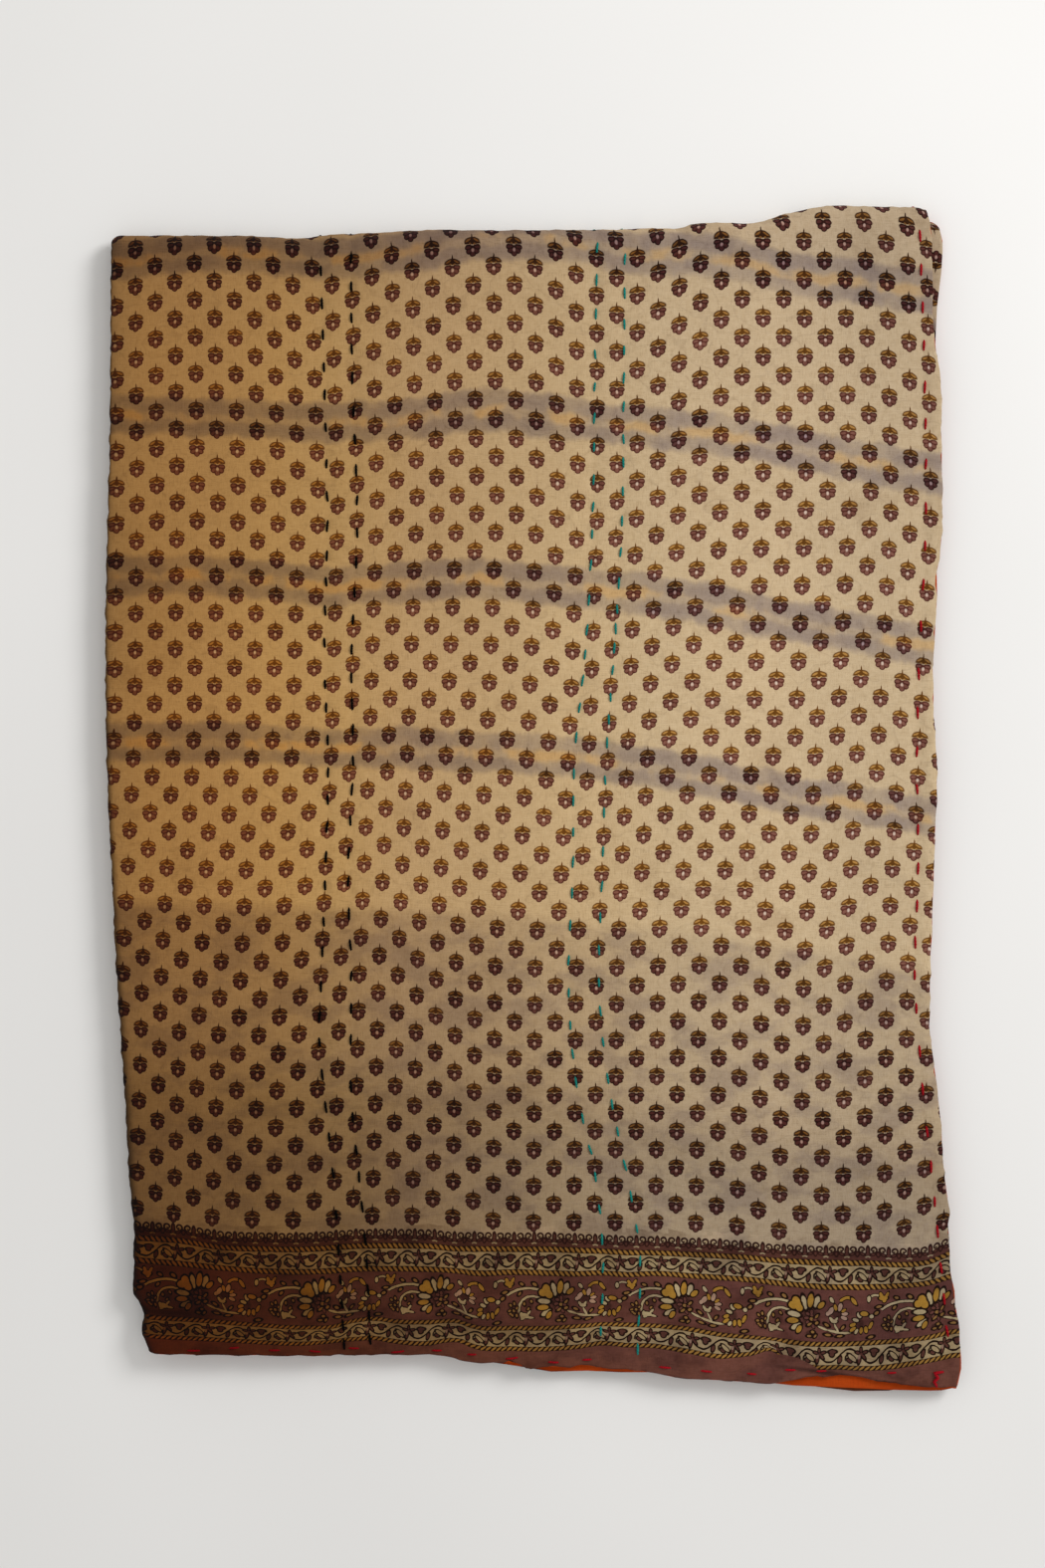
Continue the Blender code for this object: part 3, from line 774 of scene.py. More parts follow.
class Graph:
    """Adds nodes to a material. A value that a node is given is a number or another's socket."""

    def __init__(self, material):
        self.tree = material.node_tree
        self.shader = self.tree.nodes["Principled BSDF"]

    def node(self, kind, inputs, output=0, **settings):
        made = self.tree.nodes.new(kind)
        for name, value in settings.items():
            setattr(made, name, value)
        for key, value in inputs.items():
            if isinstance(value, bpy.types.NodeSocket):
                self.tree.links.new(value, made.inputs[key])
            elif value is not None:
                made.inputs[key].default_value = value
        return made.outputs[output]

    def math(self, operation, *values, clamp=False):
        inputs = dict(enumerate(values))
        return self.node("ShaderNodeMath", inputs, operation=operation, use_clamp=clamp)

    def vectors(self, operation, *values, output=0):
        inputs = dict(enumerate(values))
        return self.node("ShaderNodeVectorMath", inputs, output=output, operation=operation)

    def times(self, first, second):
        return self.math("MULTIPLY", first, second)

    def minus(self, first, second):
        return self.math("SUBTRACT", first, second)

    def linear(self, value, slope, start):
        """The value times the slope, and the start added."""
        return self.math("MULTIPLY_ADD", value, slope, start)

    def size(self, value):
        """The value without its sign."""
        return self.math("ABSOLUTE", value)

    def parts(self, vector):
        made = self.tree.nodes.new("ShaderNodeSeparateXYZ")
        self.tree.links.new(vector, made.inputs[0])
        return made.outputs[0], made.outputs[1]

    def join(self, across, down):
        """A place in a pattern. Its third part is 1, so that a product can add a number."""
        return self.node("ShaderNodeCombineXYZ", {0: across, 1: down, 2: 1.0})

    def oval_square(self, vector, place, size, turn=0.0):
        """The square of what oval gives."""
        angle = math.radians(turn)
        ways = ((math.cos(angle), math.sin(angle)), (-math.sin(angle), math.cos(angle)))
        total = None
        for way, half in zip(ways, size):
            share = 0.5 / half
            offset = -(way[0] * place[0] + way[1] * place[1])
            row = (share * way[0], share * way[1], share * offset)
            part = self.vectors("DOT_PRODUCT", vector, row, output=1)
            total = self.times(part, part) if total is None else self.linear(part, part, total)
        return total

    def oval(self, vector, place, size, turn=0.0):
        """0 in the middle of an oval and 0.5 on its edge. The size is half its length, width."""
        return self.math("SQRT", self.oval_square(vector, place, size, turn))

    def ovals(self, vector, rows):
        """The nearest of several ovals: across, down, half length, half width, turn."""
        nearest = None
        for across, down, half_long, half_wide, turn in rows:
            found = self.oval_square(vector, (across, down), (half_long, half_wide), turn)
            nearest = found if nearest is None else self.math("MINIMUM", nearest, found)
        return self.math("SQRT", nearest)

    def arc(self, vector, place, radius, half_width, window, window_size):
        """Part of a ring, which shows inside an oval window. 0.5 is its edge."""
        away = self.vectors("SUBTRACT", vector, (*place, 1.0))
        away = self.minus(self.vectors("LENGTH", away, output=1), radius)
        ring = self.times(self.size(away), 0.5 / half_width)
        outside = self.math("GREATER_THAN", self.oval_square(vector, window, window_size), 0.25)
        return self.math("MAXIMUM", ring, outside)

    def ramp(self, value, stops, output=0, interpolation="LINEAR"):
        made = self.tree.nodes.new("ShaderNodeValToRGB")
        made.color_ramp.interpolation = interpolation
        elements = made.color_ramp.elements
        while len(elements) < len(stops):
            elements.new(0.5)
        for element, (place, shade) in zip(elements, stops):
            element.position = place
        for element, (place, shade) in zip(elements, stops):
            element.color = shade if isinstance(shade, tuple) else (shade, shade, shade, 1.0)
        self.tree.links.new(value, made.inputs[0])
        return made.outputs if output is None else made.outputs[output]

    def mix(self, share, first, second, blend="MIX"):
        inputs = {0: share, 6: first, 7: second}
        return self.node("ShaderNodeMix", inputs, output=2, data_type="RGBA", blend_type=blend)

    def ink(self, under, length, fill, line, inner=0.46, edge=0.60):
        """Paints a shape with an outline. The length is below 0.5 inside it."""
        stops = [(0.0, fill), (inner, fill), (inner + 0.06, line), (edge, line)]
        stops.append((edge + 0.08, (*line[:3], 0.0)))
        shade, cover = self.ramp(length, stops, output=None)
        return self.mix(cover, under, shade)

    def blot(self, under, length, fill, soft, strength=1.0):
        """Paints a shape without an outline."""
        cover = self.span(length, 0.5 + soft, 0.5 - soft, 0.0, strength)
        return self.mix(cover, under, fill)

    def toned(self, base, shade, share):
        """The base, multiplied by a colour where the share says so: a socket, or span's values."""
        shaded = self.mix(1.0, base, shade, blend="MULTIPLY")
        return self.mix(self.span(*share) if isinstance(share, tuple) else share, base, shaded)

    def noise(self, vector, across, down, detail, roughness=0.5, output=0):
        """Noise, with how fine it is across and down."""
        inputs = {0: vector, 3: (across, down, 1.0)}
        vector = self.node("ShaderNodeMapping", inputs, vector_type="POINT")
        inputs = {"Vector": vector, "Scale": 1.0, "Detail": detail, "Roughness": roughness}
        return self.node("ShaderNodeTexNoise", inputs, output=output)

    def wobbled(self, place, fineness, reach):
        """The place, moved a little aside, as a hand-held printing block leaves it."""
        wobble = self.noise(place, fineness, fineness, 1.0, output=1)
        wobble = self.vectors("SUBTRACT", wobble, (0.5, 0.5, 0.5))
        wobble = self.vectors("SCALE", wobble, None, None, reach)
        return self.vectors("ADD", place, wobble)

    def span(self, value, low, high, to_low=0.0, to_high=1.0):
        """A soft rise or fall from one value to the other, and no further."""
        inputs = {0: value, 1: low, 2: high, 3: to_low, 4: to_high}
        return self.node("ShaderNodeMapRange", inputs, interpolation_type="SMOOTHSTEP")

    def map(self, name):
        return self.node("ShaderNodeUVMap", {}, uv_map=name)

    def show(self, base):
        """Makes this the shader's colour."""
        self.tree.links.new(base, self.shader.inputs["Base Color"])

    def bump(self, height, strength, distance):
        """Gives the shader a relief."""
        inputs = {"Height": height, "Strength": strength, "Distance": distance}
        self.tree.links.new(self.node("ShaderNodeBump", inputs), self.shader.inputs["Normal"])


def new_material(name, roughness, sheen, gloss=0.06):
    """A matt cloth or thread, and its graph."""
    material = bpy.data.materials.new(name)
    material.use_nodes = True
    graph = Graph(material)
    graph.shader.inputs["Roughness"].default_value = roughness
    graph.shader.inputs["Specular IOR Level"].default_value = gloss
    graph.shader.inputs["Sheen Weight"].default_value = sheen
    graph.shader.inputs["Sheen Roughness"].default_value = 0.6
    return material, graph


# ---------------------------------------------------------------- the print

# The field's inks where the dye is strong, and where the light comes through the cloth.
BUTI_INKS = {
    "leaf": (colour(142, 94, 40), colour(198, 148, 80)),
    "leaf_line": (colour(56, 28, 7), colour(118, 74, 23)),
    "petal": (colour(94, 48, 42), colour(146, 98, 84)),
    "flower_line": (colour(52, 22, 16), colour(100, 52, 42)),
    "heart": (colour(204, 164, 146), colour(226, 204, 188)),
}

# How faded the dye is, by a tenth of the number of bands from the top.
FADING = (
    (0.0, 0.05), (0.09, 0.10), (0.14, 0.62), (0.25, 0.82), (0.495, 0.86), (0.51, 0.42),
    (0.62, 0.12), (0.7, 0.10),
)
LEAF_OVALS = ((3.0, -5.0, 2.2, 0.68, 27.0), (1.5, -2.85, 0.9, 0.5, -20.0))
FLOWER_OVALS = (
    (3.0, -0.1, 3.1, 2.5, 0.0), (2.35, 2.6, 2.9, 2.4, 0.0), (0.0, 4.2, 2.5, 2.6, 0.0),
    (0.0, 1.5, 2.5, 3.2, 0.0),
)
PETAL_OVALS = (
    (3.4, -0.45, 1.9, 0.85, 8.0), (2.85, 2.45, 1.7, 1.15, 35.0), (0.0, 4.5, 1.5, 1.6, 0.0),
    (0.0, 2.6, 1.5, 1.4, 0.0),
)
LEAF_BASE, FLOWER_TOP = 2.5, 2.3  # where the arch and the flower's outline are cut off
FLOWER_SHIFT = 0.45  # to the right of its column's place
FIELD_END = -18.0  # above the border's upper rope


def paint_buti(graph, under, stripe):
    """The field's small flowers, each upside down on a stem, in rows that are shifted by half."""
    place = graph.wobbled(graph.map("field"), 0.32, 0.9)
    across, down = graph.parts(place)
    near_across = graph.math("WRAP", across, COLUMN_PITCH, -COLUMN_PITCH)
    near_down = graph.math("WRAP", down, ROW_PITCH, -ROW_PITCH)
    share = graph.times(graph.size(near_across), 1.0 / COLUMN_PITCH)
    share = graph.linear(graph.size(near_down), 1.0 / ROW_PITCH, share)
    other = graph.math("GREATER_THAN", share, 1.0)
    step = graph.times(graph.math("SIGN", near_across), COLUMN_PITCH)
    near_across = graph.minus(near_across, graph.times(step, other))
    step = graph.times(graph.math("SIGN", near_down), ROW_PITCH)
    near_down = graph.minus(near_down, graph.times(step, other))
    column = graph.minus(across, near_across)
    column = graph.math("ROUND", graph.times(column, 1.0 / COLUMN_PITCH))
    row = graph.minus(down, near_down)
    row = graph.math("ROUND", graph.times(row, 1.0 / ROW_PITCH))
    inputs = {0: graph.join(column, row)}
    chance = graph.node("ShaderNodeTexWhiteNoise", inputs, noise_dimensions="2D")
    off = graph.minus(near_across, FLOWER_SHIFT)
    local = graph.join(graph.size(off), near_down)

    # the dye is faded in the middle of the cloth, and a little different in each flower
    _, shown = graph.parts(graph.map("wash"))
    depth = graph.times(graph.size(shown), 0.1)
    faded = graph.ramp(depth, FADING)
    faded = graph.linear(stripe, -0.5, faded)
    faded = graph.linear(chance, 0.34, graph.minus(faded, 0.17))
    patchy = graph.noise(place, 0.045, 0.06, 3.0)
    faded = graph.math("ADD", faded, graph.span(patchy, 0.35, 0.65, 0.12, -0.12), clamp=True)
    inks = {name: graph.mix(faded, strong, weak) for name, (strong, weak) in BUTI_INKS.items()}

    # two leaves in one arch, on both sides of the stem
    dome = graph.oval(local, (0.0, -3.2), (6.1, 4.1))
    cut = graph.linear(near_down, 0.4, 0.5 + 0.4 * LEAF_BASE)
    base = graph.blot(under, graph.math("MAXIMUM", dome, cut), inks["leaf_line"], soft=0.05)
    fill = graph.ovals(local, LEAF_OVALS)
    base = graph.blot(base, fill, inks["leaf"], soft=0.12, strength=0.95)
    stem = graph.oval(local, (0.0, -6.2), (0.6, 3.9))
    base = graph.blot(base, stem, inks["leaf_line"], soft=0.12)
    # the flower's dark outline, with five petals and a pale heart inside
    flower = graph.ovals(local, FLOWER_OVALS)
    cut = graph.linear(near_down, -0.4, 0.5 - 0.4 * FLOWER_TOP)
    flower = graph.math("MAXIMUM", flower, cut)
    base = graph.blot(base, flower, inks["flower_line"], soft=0.05)
    petals = graph.ovals(local, PETAL_OVALS)
    base = graph.blot(base, petals, inks["petal"], soft=0.11, strength=0.92)
    heart = graph.oval(local, (0.0, 1.65), (1.0, 1.35))
    base = graph.blot(base, heart, inks["heart"], soft=0.2)
    # the rows end above the border's crests
    _, border_down = graph.parts(graph.map("border"))
    in_field = graph.math("LESS_THAN", graph.minus(border_down, near_down), FIELD_END)
    return graph.mix(in_field, under, base)


GROUND = colour(213, 188, 152)

# The stripe's and the glow's strength across a band, whose middle is at 0.5.
STRIPE_PROFILE = (
    (0.362, 0.0), (0.392, 0.85), (0.43, 1.0), (0.47, 0.9), (0.49, 0.55), (0.515, 0.55),
    (0.535, 0.9), (0.57, 1.0), (0.60, 0.85), (0.635, 0.0),
)
GLOW_PROFILE = ((0.455, 0.0), (0.485, 1.0), (0.515, 1.0), (0.545, 0.0))
# Tones of the whole cloth, painted shade darker towards the left, where the cloth is also browner
# in
# itself: place, red, green and blue. From the left to the right:
ACROSS_TONES = (
    (0.0, 196, 166, 122), (0.05, 206, 174, 126), (0.12, 214, 183, 136), (0.20, 226, 198, 150),
    (0.27, 229, 207, 166), (0.36, 233, 217, 192), (0.45, 239, 228, 208), (0.55, 248, 242, 228),
    (0.65, 250, 249, 244), (0.78, 254, 254, 252), (0.88, 244, 245, 245), (1.0, 240, 241, 241),
)
# and, by a tenth of the number of bands from the top, in the left part and in the right part, with
# painted shade along the top and in the lower part, and the grey of more layers beneath in the
# lower part:
LEFT_TONES = (
    (0.0, 172, 172, 186), (0.095, 198, 198, 214), (0.115, 232, 232, 238),
    (0.15, 242, 242, 245), (0.3, 246, 246, 246), (0.36, 255, 255, 255), (0.497, 255, 255, 255),
    (0.502, 227, 224, 227), (0.52, 222, 219, 223), (0.56, 216, 214, 222),
    (0.59, 207, 205, 212), (0.62, 190, 187, 188), (0.65, 180, 177, 184), (0.68, 175, 172, 178),
    (1.0, 166, 160, 160),
)
RIGHT_TONES = (
    (0.0, 214, 214, 220), (0.09, 228, 228, 234), (0.12, 240, 240, 243), (0.2, 246, 246, 248),
    (0.33, 255, 255, 255), (0.497, 255, 255, 255), (0.502, 241, 241, 243),
    (0.55, 234, 234, 238), (0.59, 230, 230, 234), (0.615, 218, 217, 222),
    (0.635, 205, 205, 212), (0.66, 204, 205, 214), (1.0, 206, 206, 210),
)
TONES_BLEND = (150.0, 480.0)  # between these places across, the left part blends into the right
CLOTH_RIGHT = 661.0  # where the tones across reach 1


def tinted(graph, base, share, tones):
    """The base, multiplied by a table's colour at the share."""
    tint = graph.ramp(share, [(place, colour(*shade)) for place, *shade in tones])
    return graph.mix(1.0, base, tint, blend="MULTIPLY")


def show_through(graph):
    """The layers beneath: pairs of greyish stripes, with an orange glow in places between."""
    place = graph.map("place")
    wash = graph.map("wash")
    _, shown = graph.parts(wash)
    crinkle = graph.noise(place, 0.05, 0.02, 3.0, roughness=0.6)
    crinkle = graph.linear(crinkle, 0.10, 0.45)
    near = graph.math("ADD", graph.math("WRAP", shown, 0.5, -0.5), crinkle)
    inside = graph.math("LESS_THAN", shown, 4.5)
    patches = graph.noise(wash, 0.022, 2.2, 3.0, roughness=0.6)
    glow = graph.times(graph.ramp(near, GLOW_PROFILE), inside)
    glow = graph.times(glow, graph.span(patches, 0.54, 0.42, 0.0, 0.9))
    stripe = graph.times(graph.ramp(near, STRIPE_PROFILE), inside)
    stripe = graph.times(stripe, graph.span(patches, 0.28, 0.58, 0.5, 1.0))
    return graph.linear(graph.times(stripe, glow), -0.85, stripe), glow


def shaded_and_worn_tone(graph, base, stripe, glow):
    """What lies over the whole print: browner to the left, partly as painted shade, painted shade
    below and along the top, the layers beneath, painted crease shade, and stains.
    """
    place = graph.map("place")
    wash = graph.map("wash")
    across, _ = graph.parts(place)
    across = graph.size(across)
    inwards, shown = graph.parts(wash)
    wander = graph.noise(place, 0.006, 0.009, 3.0)
    wander = graph.linear(wander, 0.10, -0.05)
    share = graph.linear(across, 1.0 / CLOTH_RIGHT, wander)
    base = tinted(graph, base, share, ACROSS_TONES)
    # painted shade, with the grey of the layers beneath: the lower part is darker, and so is the
    # strip along the top
    depth = graph.times(graph.size(shown), 0.1)
    left_side = tinted(graph, base, depth, LEFT_TONES)
    right_side = tinted(graph, base, depth, RIGHT_TONES)
    base = graph.mix(graph.span(across, *TONES_BLEND), left_side, right_side)
    # the left fold's own shadow, which grows wider downwards
    reach = graph.span(depth, 0.1, 0.62, 2.5, 6.5)
    near_fold = graph.math("DIVIDE", graph.size(inwards), reach)
    base = graph.toned(base, colour(92, 88, 70), (near_fold, 1.0, 0.1, 0.0, 0.8))
    base = graph.toned(base, colour(195, 196, 221), stripe)
    base = graph.toned(base, colour(255, 239, 212), glow)
    # painted shade in fine creases: thin darker lines
    crease_shade = graph.noise(place, 0.012, 0.017, 3.0, roughness=0.5)
    crease_shade = graph.math("FRACT", graph.times(crease_shade, 7.0))
    crease_shade = graph.size(graph.minus(crease_shade, 0.5))
    base = graph.toned(base, colour(232, 230, 230), (crease_shade, 0.06, 0.0, 0.0, 0.5))
    # greyer in noisy streaks in the lower part
    lower_grey = graph.noise(place, 0.024, 0.042, 5.0, roughness=0.6)
    lower_grey = graph.span(lower_grey, 0.44, 0.62)
    lower_grey = graph.times(lower_grey, graph.span(depth, 0.50, 0.505))
    base = graph.toned(base, colour(228, 227, 236), lower_grey)
    # stains and uneven dye
    stain = graph.noise(place, 0.011, 0.014, 4.0, roughness=0.62)
    base = graph.toned(base, colour(222, 216, 212), (stain, 0.56, 0.74, 0.0, 0.6))
    fine = graph.noise(place, 0.21, 0.21, 4.0, roughness=0.7)
    return graph.toned(base, colour(240, 236, 230), (fine, 0.25, 0.75, 0.9, 0.0))


def thread_grain(graph, base):
    """Slubs of the plain weave, along both sets of threads."""
    place = graph.map("place")
    warp = graph.noise(place, 1.9, 0.12, 2.0, roughness=0.6)
    weft = graph.noise(place, 0.10, 2.1, 2.0, roughness=0.6)
    slub = graph.linear(warp, 0.5, graph.times(weft, 0.5))
    dark = graph.mix(1.0, base, colour(204, 198, 192), blend="MULTIPLY")
    light = graph.mix(1.0, base, (1.07, 1.07, 1.065, 1.0), blend="MULTIPLY")
    base = graph.mix(graph.span(slub, 0.50, 0.36, 0.0, 0.55), base, dark)
    return graph.mix(graph.span(slub, 0.52, 0.66, 0.0, 0.8), base, light), slub


THREAD_PITCH = 0.72  # of the weave's relief: two threads
# Strength of the reliefs, and their depth in metres.
WEAVE_BUMP = (0.5, 0.00025)
THREAD_BUMP = (0.4, 0.0002)


def dress_cloth(graph, base):
    """Gives a cloth's shader its colour, and the relief of the plain weave."""
    base, slub = thread_grain(graph, base)
    graph.show(base)
    across, up = graph.parts(graph.map("place"))
    turn = 2.0 * math.pi / THREAD_PITCH
    over = graph.math("SINE", graph.times(across, turn))
    under = graph.math("SINE", graph.times(up, turn))
    weave = graph.times(over, under)
    graph.bump(graph.linear(weave, 0.25, slub), *WEAVE_BUMP)


BORDER_PURPLE = colour(127, 78, 66)
HEM_PURPLE = colour(139, 87, 71)
BORDER_CREAM = colour(205, 179, 132)
BORDER_LINE = colour(40, 17, 7)
CREST_LINE = colour(62, 30, 22)
PRINT_GOLD = colour(206, 154, 60)
PRINT_TAN = colour(172, 128, 70)
PRINT_CREAM = colour(220, 198, 150)
PRINT_PINK = colour(216, 176, 146)
ROPE_GOLD = colour(198, 147, 68)
ROPE_DARK = colour(46, 21, 8)
VINE_PURPLE = colour(110, 66, 53)

# Ovals of the main band, in the even print's millimetres: across from the heart-shaped petal, down
# from the upper rope, half length, half width and turn in degrees.
GOLD_OVALS = (
    (0.2, 29.5, 3.6, 3.0, 80), (-2.3, 32.6, 3.4, 3.0, 3), (2.1, 33.8, 3.5, 2.8, 51),
    (0.3, 31.8, 3.6, 3.2, 2), (11.0, 28.1, 5.3, 2.2, 97), (18.9, 31.3, 3.3, 1.9, -45),
    (-2.4, 44.2, 4.4, 2.1, -6), (2.2, 50.2, 3.2, 1.8, -60), (65.7, 26.3, 3.3, 1.9, 0),
    (64.1, 23.8, 2.3, 1.3, 65), (68.5, 23.8, 2.6, 1.1, -60), (66.4, 28.0, 1.8, 1.5, 90),
    (51.4, 38.0, 3.1, 1.8, 8), (42.7, 46.2, 2.3, 1.4, -25), (42.6, 49.6, 2.7, 1.3, -36),
    (49.0, 50.7, 2.6, 1.3, 99), (52.6, 50.4, 2.6, 1.4, 82), (56.1, 47.2, 3.1, 1.3, -64),
    (43.6, 28.2, 3.5, 1.4, 54), (29.7, 32.9, 2.5, 1.2, 75), (35.9, 35.2, 2.0, 1.0, -38),
)
CREAM_OVALS = (
    (6.2, 29.9, 5.4, 2.1, 76), (15.5, 28.9, 4.6, 2.3, 106), (-1.5, 39.3, 5.0, 2.1, 6),
    (0.1, 48.3, 4.4, 2.0, -32), (47.5, 39.0, 2.4, 1.6, 58), (45.0, 42.6, 2.5, 1.4, 19),
    (45.4, 51.4, 2.2, 1.2, -60), (56.9, 40.2, 1.7, 1.6, -5), (78.2, 50.8, 3.5, 1.9, 12),
    (75.7, 50.9, 2.8, 1.5, 75), (81.3, 48.5, 2.4, 0.9, -52), (82.4, 52.1, 2.8, 0.9, 9),
    (76.6, 53.0, 1.9, 0.9, -24), (54.9, 26.6, 2.5, 1.4, 95), (26.8, 27.1, 2.4, 1.3, 55),
    (20.2, 48.6, 4.2, 0.95, 22), (28.4, 51.1, 5.6, 1.0, 13), (36.4, 52.2, 5.2, 0.9, 2),
    (30.4, 48.6, 4.2, 0.85, 63), (26.6, 42.0, 2.4, 1.1, 55), (28.6, 43.3, 2.6, 1.4, 5),
    (30.3, 42.0, 2.1, 0.9, -62),
)
PINK_OVALS = (
    (33.2, 32.7, 3.1, 1.55, 105), (26.3, 35.3, 3.1, 1.7, 124), (36.7, 37.6, 2.4, 1.3, -5),
    (36.1, 40.8, 2.4, 1.25, 24), (23.9, 37.5, 1.6, 1.4, 110),
)
SMALL_OVALS = (
    (75.7, 26.4, 1.8, 1.1, 24), (85.9, 26.4, 2.1, 1.3, 31), (62.4, 32.9, 2.4, 1.1, -13),
    (74.1, 33.9, 1.8, 1.1, -46), (23.0, 46.0, 2.2, 1.1, 30), (56.2, 56.3, 2.4, 1.1, -12),
    (60.6, 37.6, 1.9, 1.3, -35), (15.5, 44.8, 1.7, 1.2, -32), (9.9, 54.6, 1.8, 1.0, -3),
    (35.0, 48.2, 2.0, 1.0, -46), (24.0, 53.6, 2.6, 1.0, 10), (32.8, 54.6, 2.5, 1.0, -8),
    (66.9, 43.0, 1.4, 0.9, 49), (69.8, 41.6, 1.5, 0.9, 80), (66.1, 47.2, 1.4, 0.9, -15),
    (68.2, 50.7, 1.4, 0.9, 39), (71.7, 50.8, 1.5, 0.9, 80), (69.5, 47.2, 1.3, 0.9, 60),
    (66.8, 49.4, 1.1, 0.8, -5), (71.9, 45.0, 1.3, 0.8, -60), (83.3, 39.5, 1.4, 1.0, 60),
    (77.7, 41.6, 1.5, 1.0, 80), (80.9, 45.4, 1.4, 0.9, -50), (10.2, 46.0, 2.2, 1.1, -33),
    (15.6, 39.8, 2.0, 1.0, -51), (12.5, 51.6, 1.5, 1.1, 7), (14.4, 54.6, 1.6, 0.9, -48),
    (11.6, 42.0, 1.7, 1.4, 20),
)
CENTRE_OVALS = (
    (7.8, 41.4, 2.0, 1.2, -10), (8.8, 38.0, 1.9, 1.2, 35), (11.8, 36.8, 1.9, 1.2, 85),
    (12.0, 39.2, 1.3, 0.9, 0), (8.6, 44.4, 1.6, 1.0, -40), (13.0, 47.4, 1.8, 1.1, 60),
    (14.4, 42.4, 1.5, 1.0, 10),
)
DARK_CENTRES = (
    (11.2, 41.4, 6.8, 6.8, 0), (30.6, 37.4, 4.2, 3.8, 0), (11.4, 53.2, 4.4, 2.8, 0),
)
DARK_CELLS = (
    (69.2, 46.4, 4.4, 6.2, 0), (48.0, 45.0, 2.8, 3.6, 0), (81.0, 42.0, 4.4, 3.4, 60),
)
# Items before this place across are drawn in the repeat around the heart, and those after it in
# the repeat that follows it, so that none of them is cut.
NEAR_REACH = 50.2


def paint_ovals(graph, under, places, rows, fill, inner, edge):
    """Paints a table's ovals with their dark outline."""
    for vector, is_far in zip(places, (False, True)):
        some = [row for row in rows if (row[0] >= NEAR_REACH) == is_far]
        if some:
            under = graph.ink(under, graph.ovals(vector, some), fill, BORDER_LINE, inner, edge)
    return under


def paint_main_band(graph, under, place):
    """The wide band of flowers and scrolls between the second and the third rope."""
    across, down = graph.parts(place)
    near = graph.join(graph.math("WRAP", across, 0.58 * REPEAT, -0.42 * REPEAT), down)
    far = graph.join(graph.math("WRAP", across, 1.02 * REPEAT, 0.02 * REPEAT), down)
    base = under
    for vector, fill, *scroll in (
        # the fill, middle, radius, half width, and the oval window that shows the scroll
        (far, PRINT_CREAM, (82.0, 60.5), 31.0, 0.9, (76.4, 31.2), (14.4, 7.5)),
        (far, PRINT_CREAM, (84.1, 46.1), 10.6, 0.85, (80.2, 40.5), (10.5, 10.6)),
        (far, PRINT_CREAM, (59.6, 29.0), 5.4, 0.75, (59.6, 23.8), (4.9, 3.2)),
        (near, PRINT_GOLD, (38.9, 31.4), 6.2, 1.05, (38.4, 26.4), (6.0, 4.0)),
    ):
        base = graph.ink(base, graph.arc(vector, *scroll), fill, BORDER_LINE, edge=0.8)
    # the daisy's and the small flower's dark middles
    centre = graph.ovals(near, DARK_CENTRES)
    base = graph.blot(base, centre, BORDER_LINE, soft=0.14, strength=0.62)
    cells = graph.ovals(far, DARK_CELLS)
    base = graph.blot(base, cells, BORDER_LINE, soft=0.16, strength=0.5)
    for rows, fill, inner, edge in (
        (SMALL_OVALS, PRINT_TAN, 0.40, 0.84),
        (CENTRE_OVALS, BORDER_PURPLE, 0.40, 0.62),
        (CREAM_OVALS, PRINT_CREAM, 0.44, 0.66),
        (PINK_OVALS, PRINT_PINK, 0.48, 0.68),
        (GOLD_OVALS, PRINT_GOLD, 0.45, 0.66),
    ):
        base = paint_ovals(graph, base, (near, far), rows, fill, inner, edge)
    return base


VINE_STAR = (
    (0.0, -3.9, 2.3, 1.4, 90.0), (-2.6, -2.3, 2.5, 1.4, 14.0), (3.0, -2.4, 2.7, 1.4, -12.0),
    (-1.5, 2.6, 3.8, 1.5, 104.0), (2.0, 0.5, 2.9, 1.4, 52.0), (0.2, -1.2, 1.9, 1.8, 0.0),
)
VINE_LEAVES = (
    (10.0, -3.0, 3.9, 1.9, 0.0), (9.6, -1.3, 2.3, 2.4, 0.0), (15.4, 2.7, 3.4, 1.7, -74.0),
    (-9.0, 3.1, 2.7, 1.7, 36.0),
)


def paint_vine(graph, under, vine_place):
    """The narrow band's vine: across and down from the middle of a star flower's column."""
    across, down = graph.parts(vine_place)
    near = graph.math("WRAP", across, 0.6 * VINE_REPEAT, -0.4 * VINE_REPEAT)
    local = graph.join(near, down)
    rate = 2.0 * math.pi / VINE_REPEAT
    wave = graph.math("COSINE", graph.linear(near, rate, 8.6 * rate))
    wave = graph.linear(wave, -4.7, -0.1)
    away = graph.size(graph.minus(down, wave))
    base = graph.blot(under, graph.times(away, 0.5 / 0.75), BORDER_LINE, soft=0.12)
    curl = graph.arc(local, (-8.6, 2.3), 3.7, 0.65, (-10.4, -0.2), (3.4, 4.2))
    base = graph.blot(base, curl, BORDER_LINE, soft=0.12)
    leaves = graph.ovals(local, VINE_LEAVES)
    base = graph.ink(base, leaves, VINE_PURPLE, BORDER_LINE, inner=0.3, edge=0.52)
    pale = graph.oval(local, (-6.9, 1.2), (3.9, 1.5), 40.0)
    base = graph.ink(base, pale, BORDER_CREAM, BORDER_LINE, inner=0.42, edge=0.66)
    star = graph.ovals(local, VINE_STAR)
    base = graph.ink(base, star, VINE_PURPLE, BORDER_LINE, inner=0.26, edge=0.52)
    spot = graph.oval(local, (-1.5, 0.5), (0.9, 1.5), 15.0)
    return graph.blot(base, spot, PRINT_PINK, soft=0.2, strength=0.7)


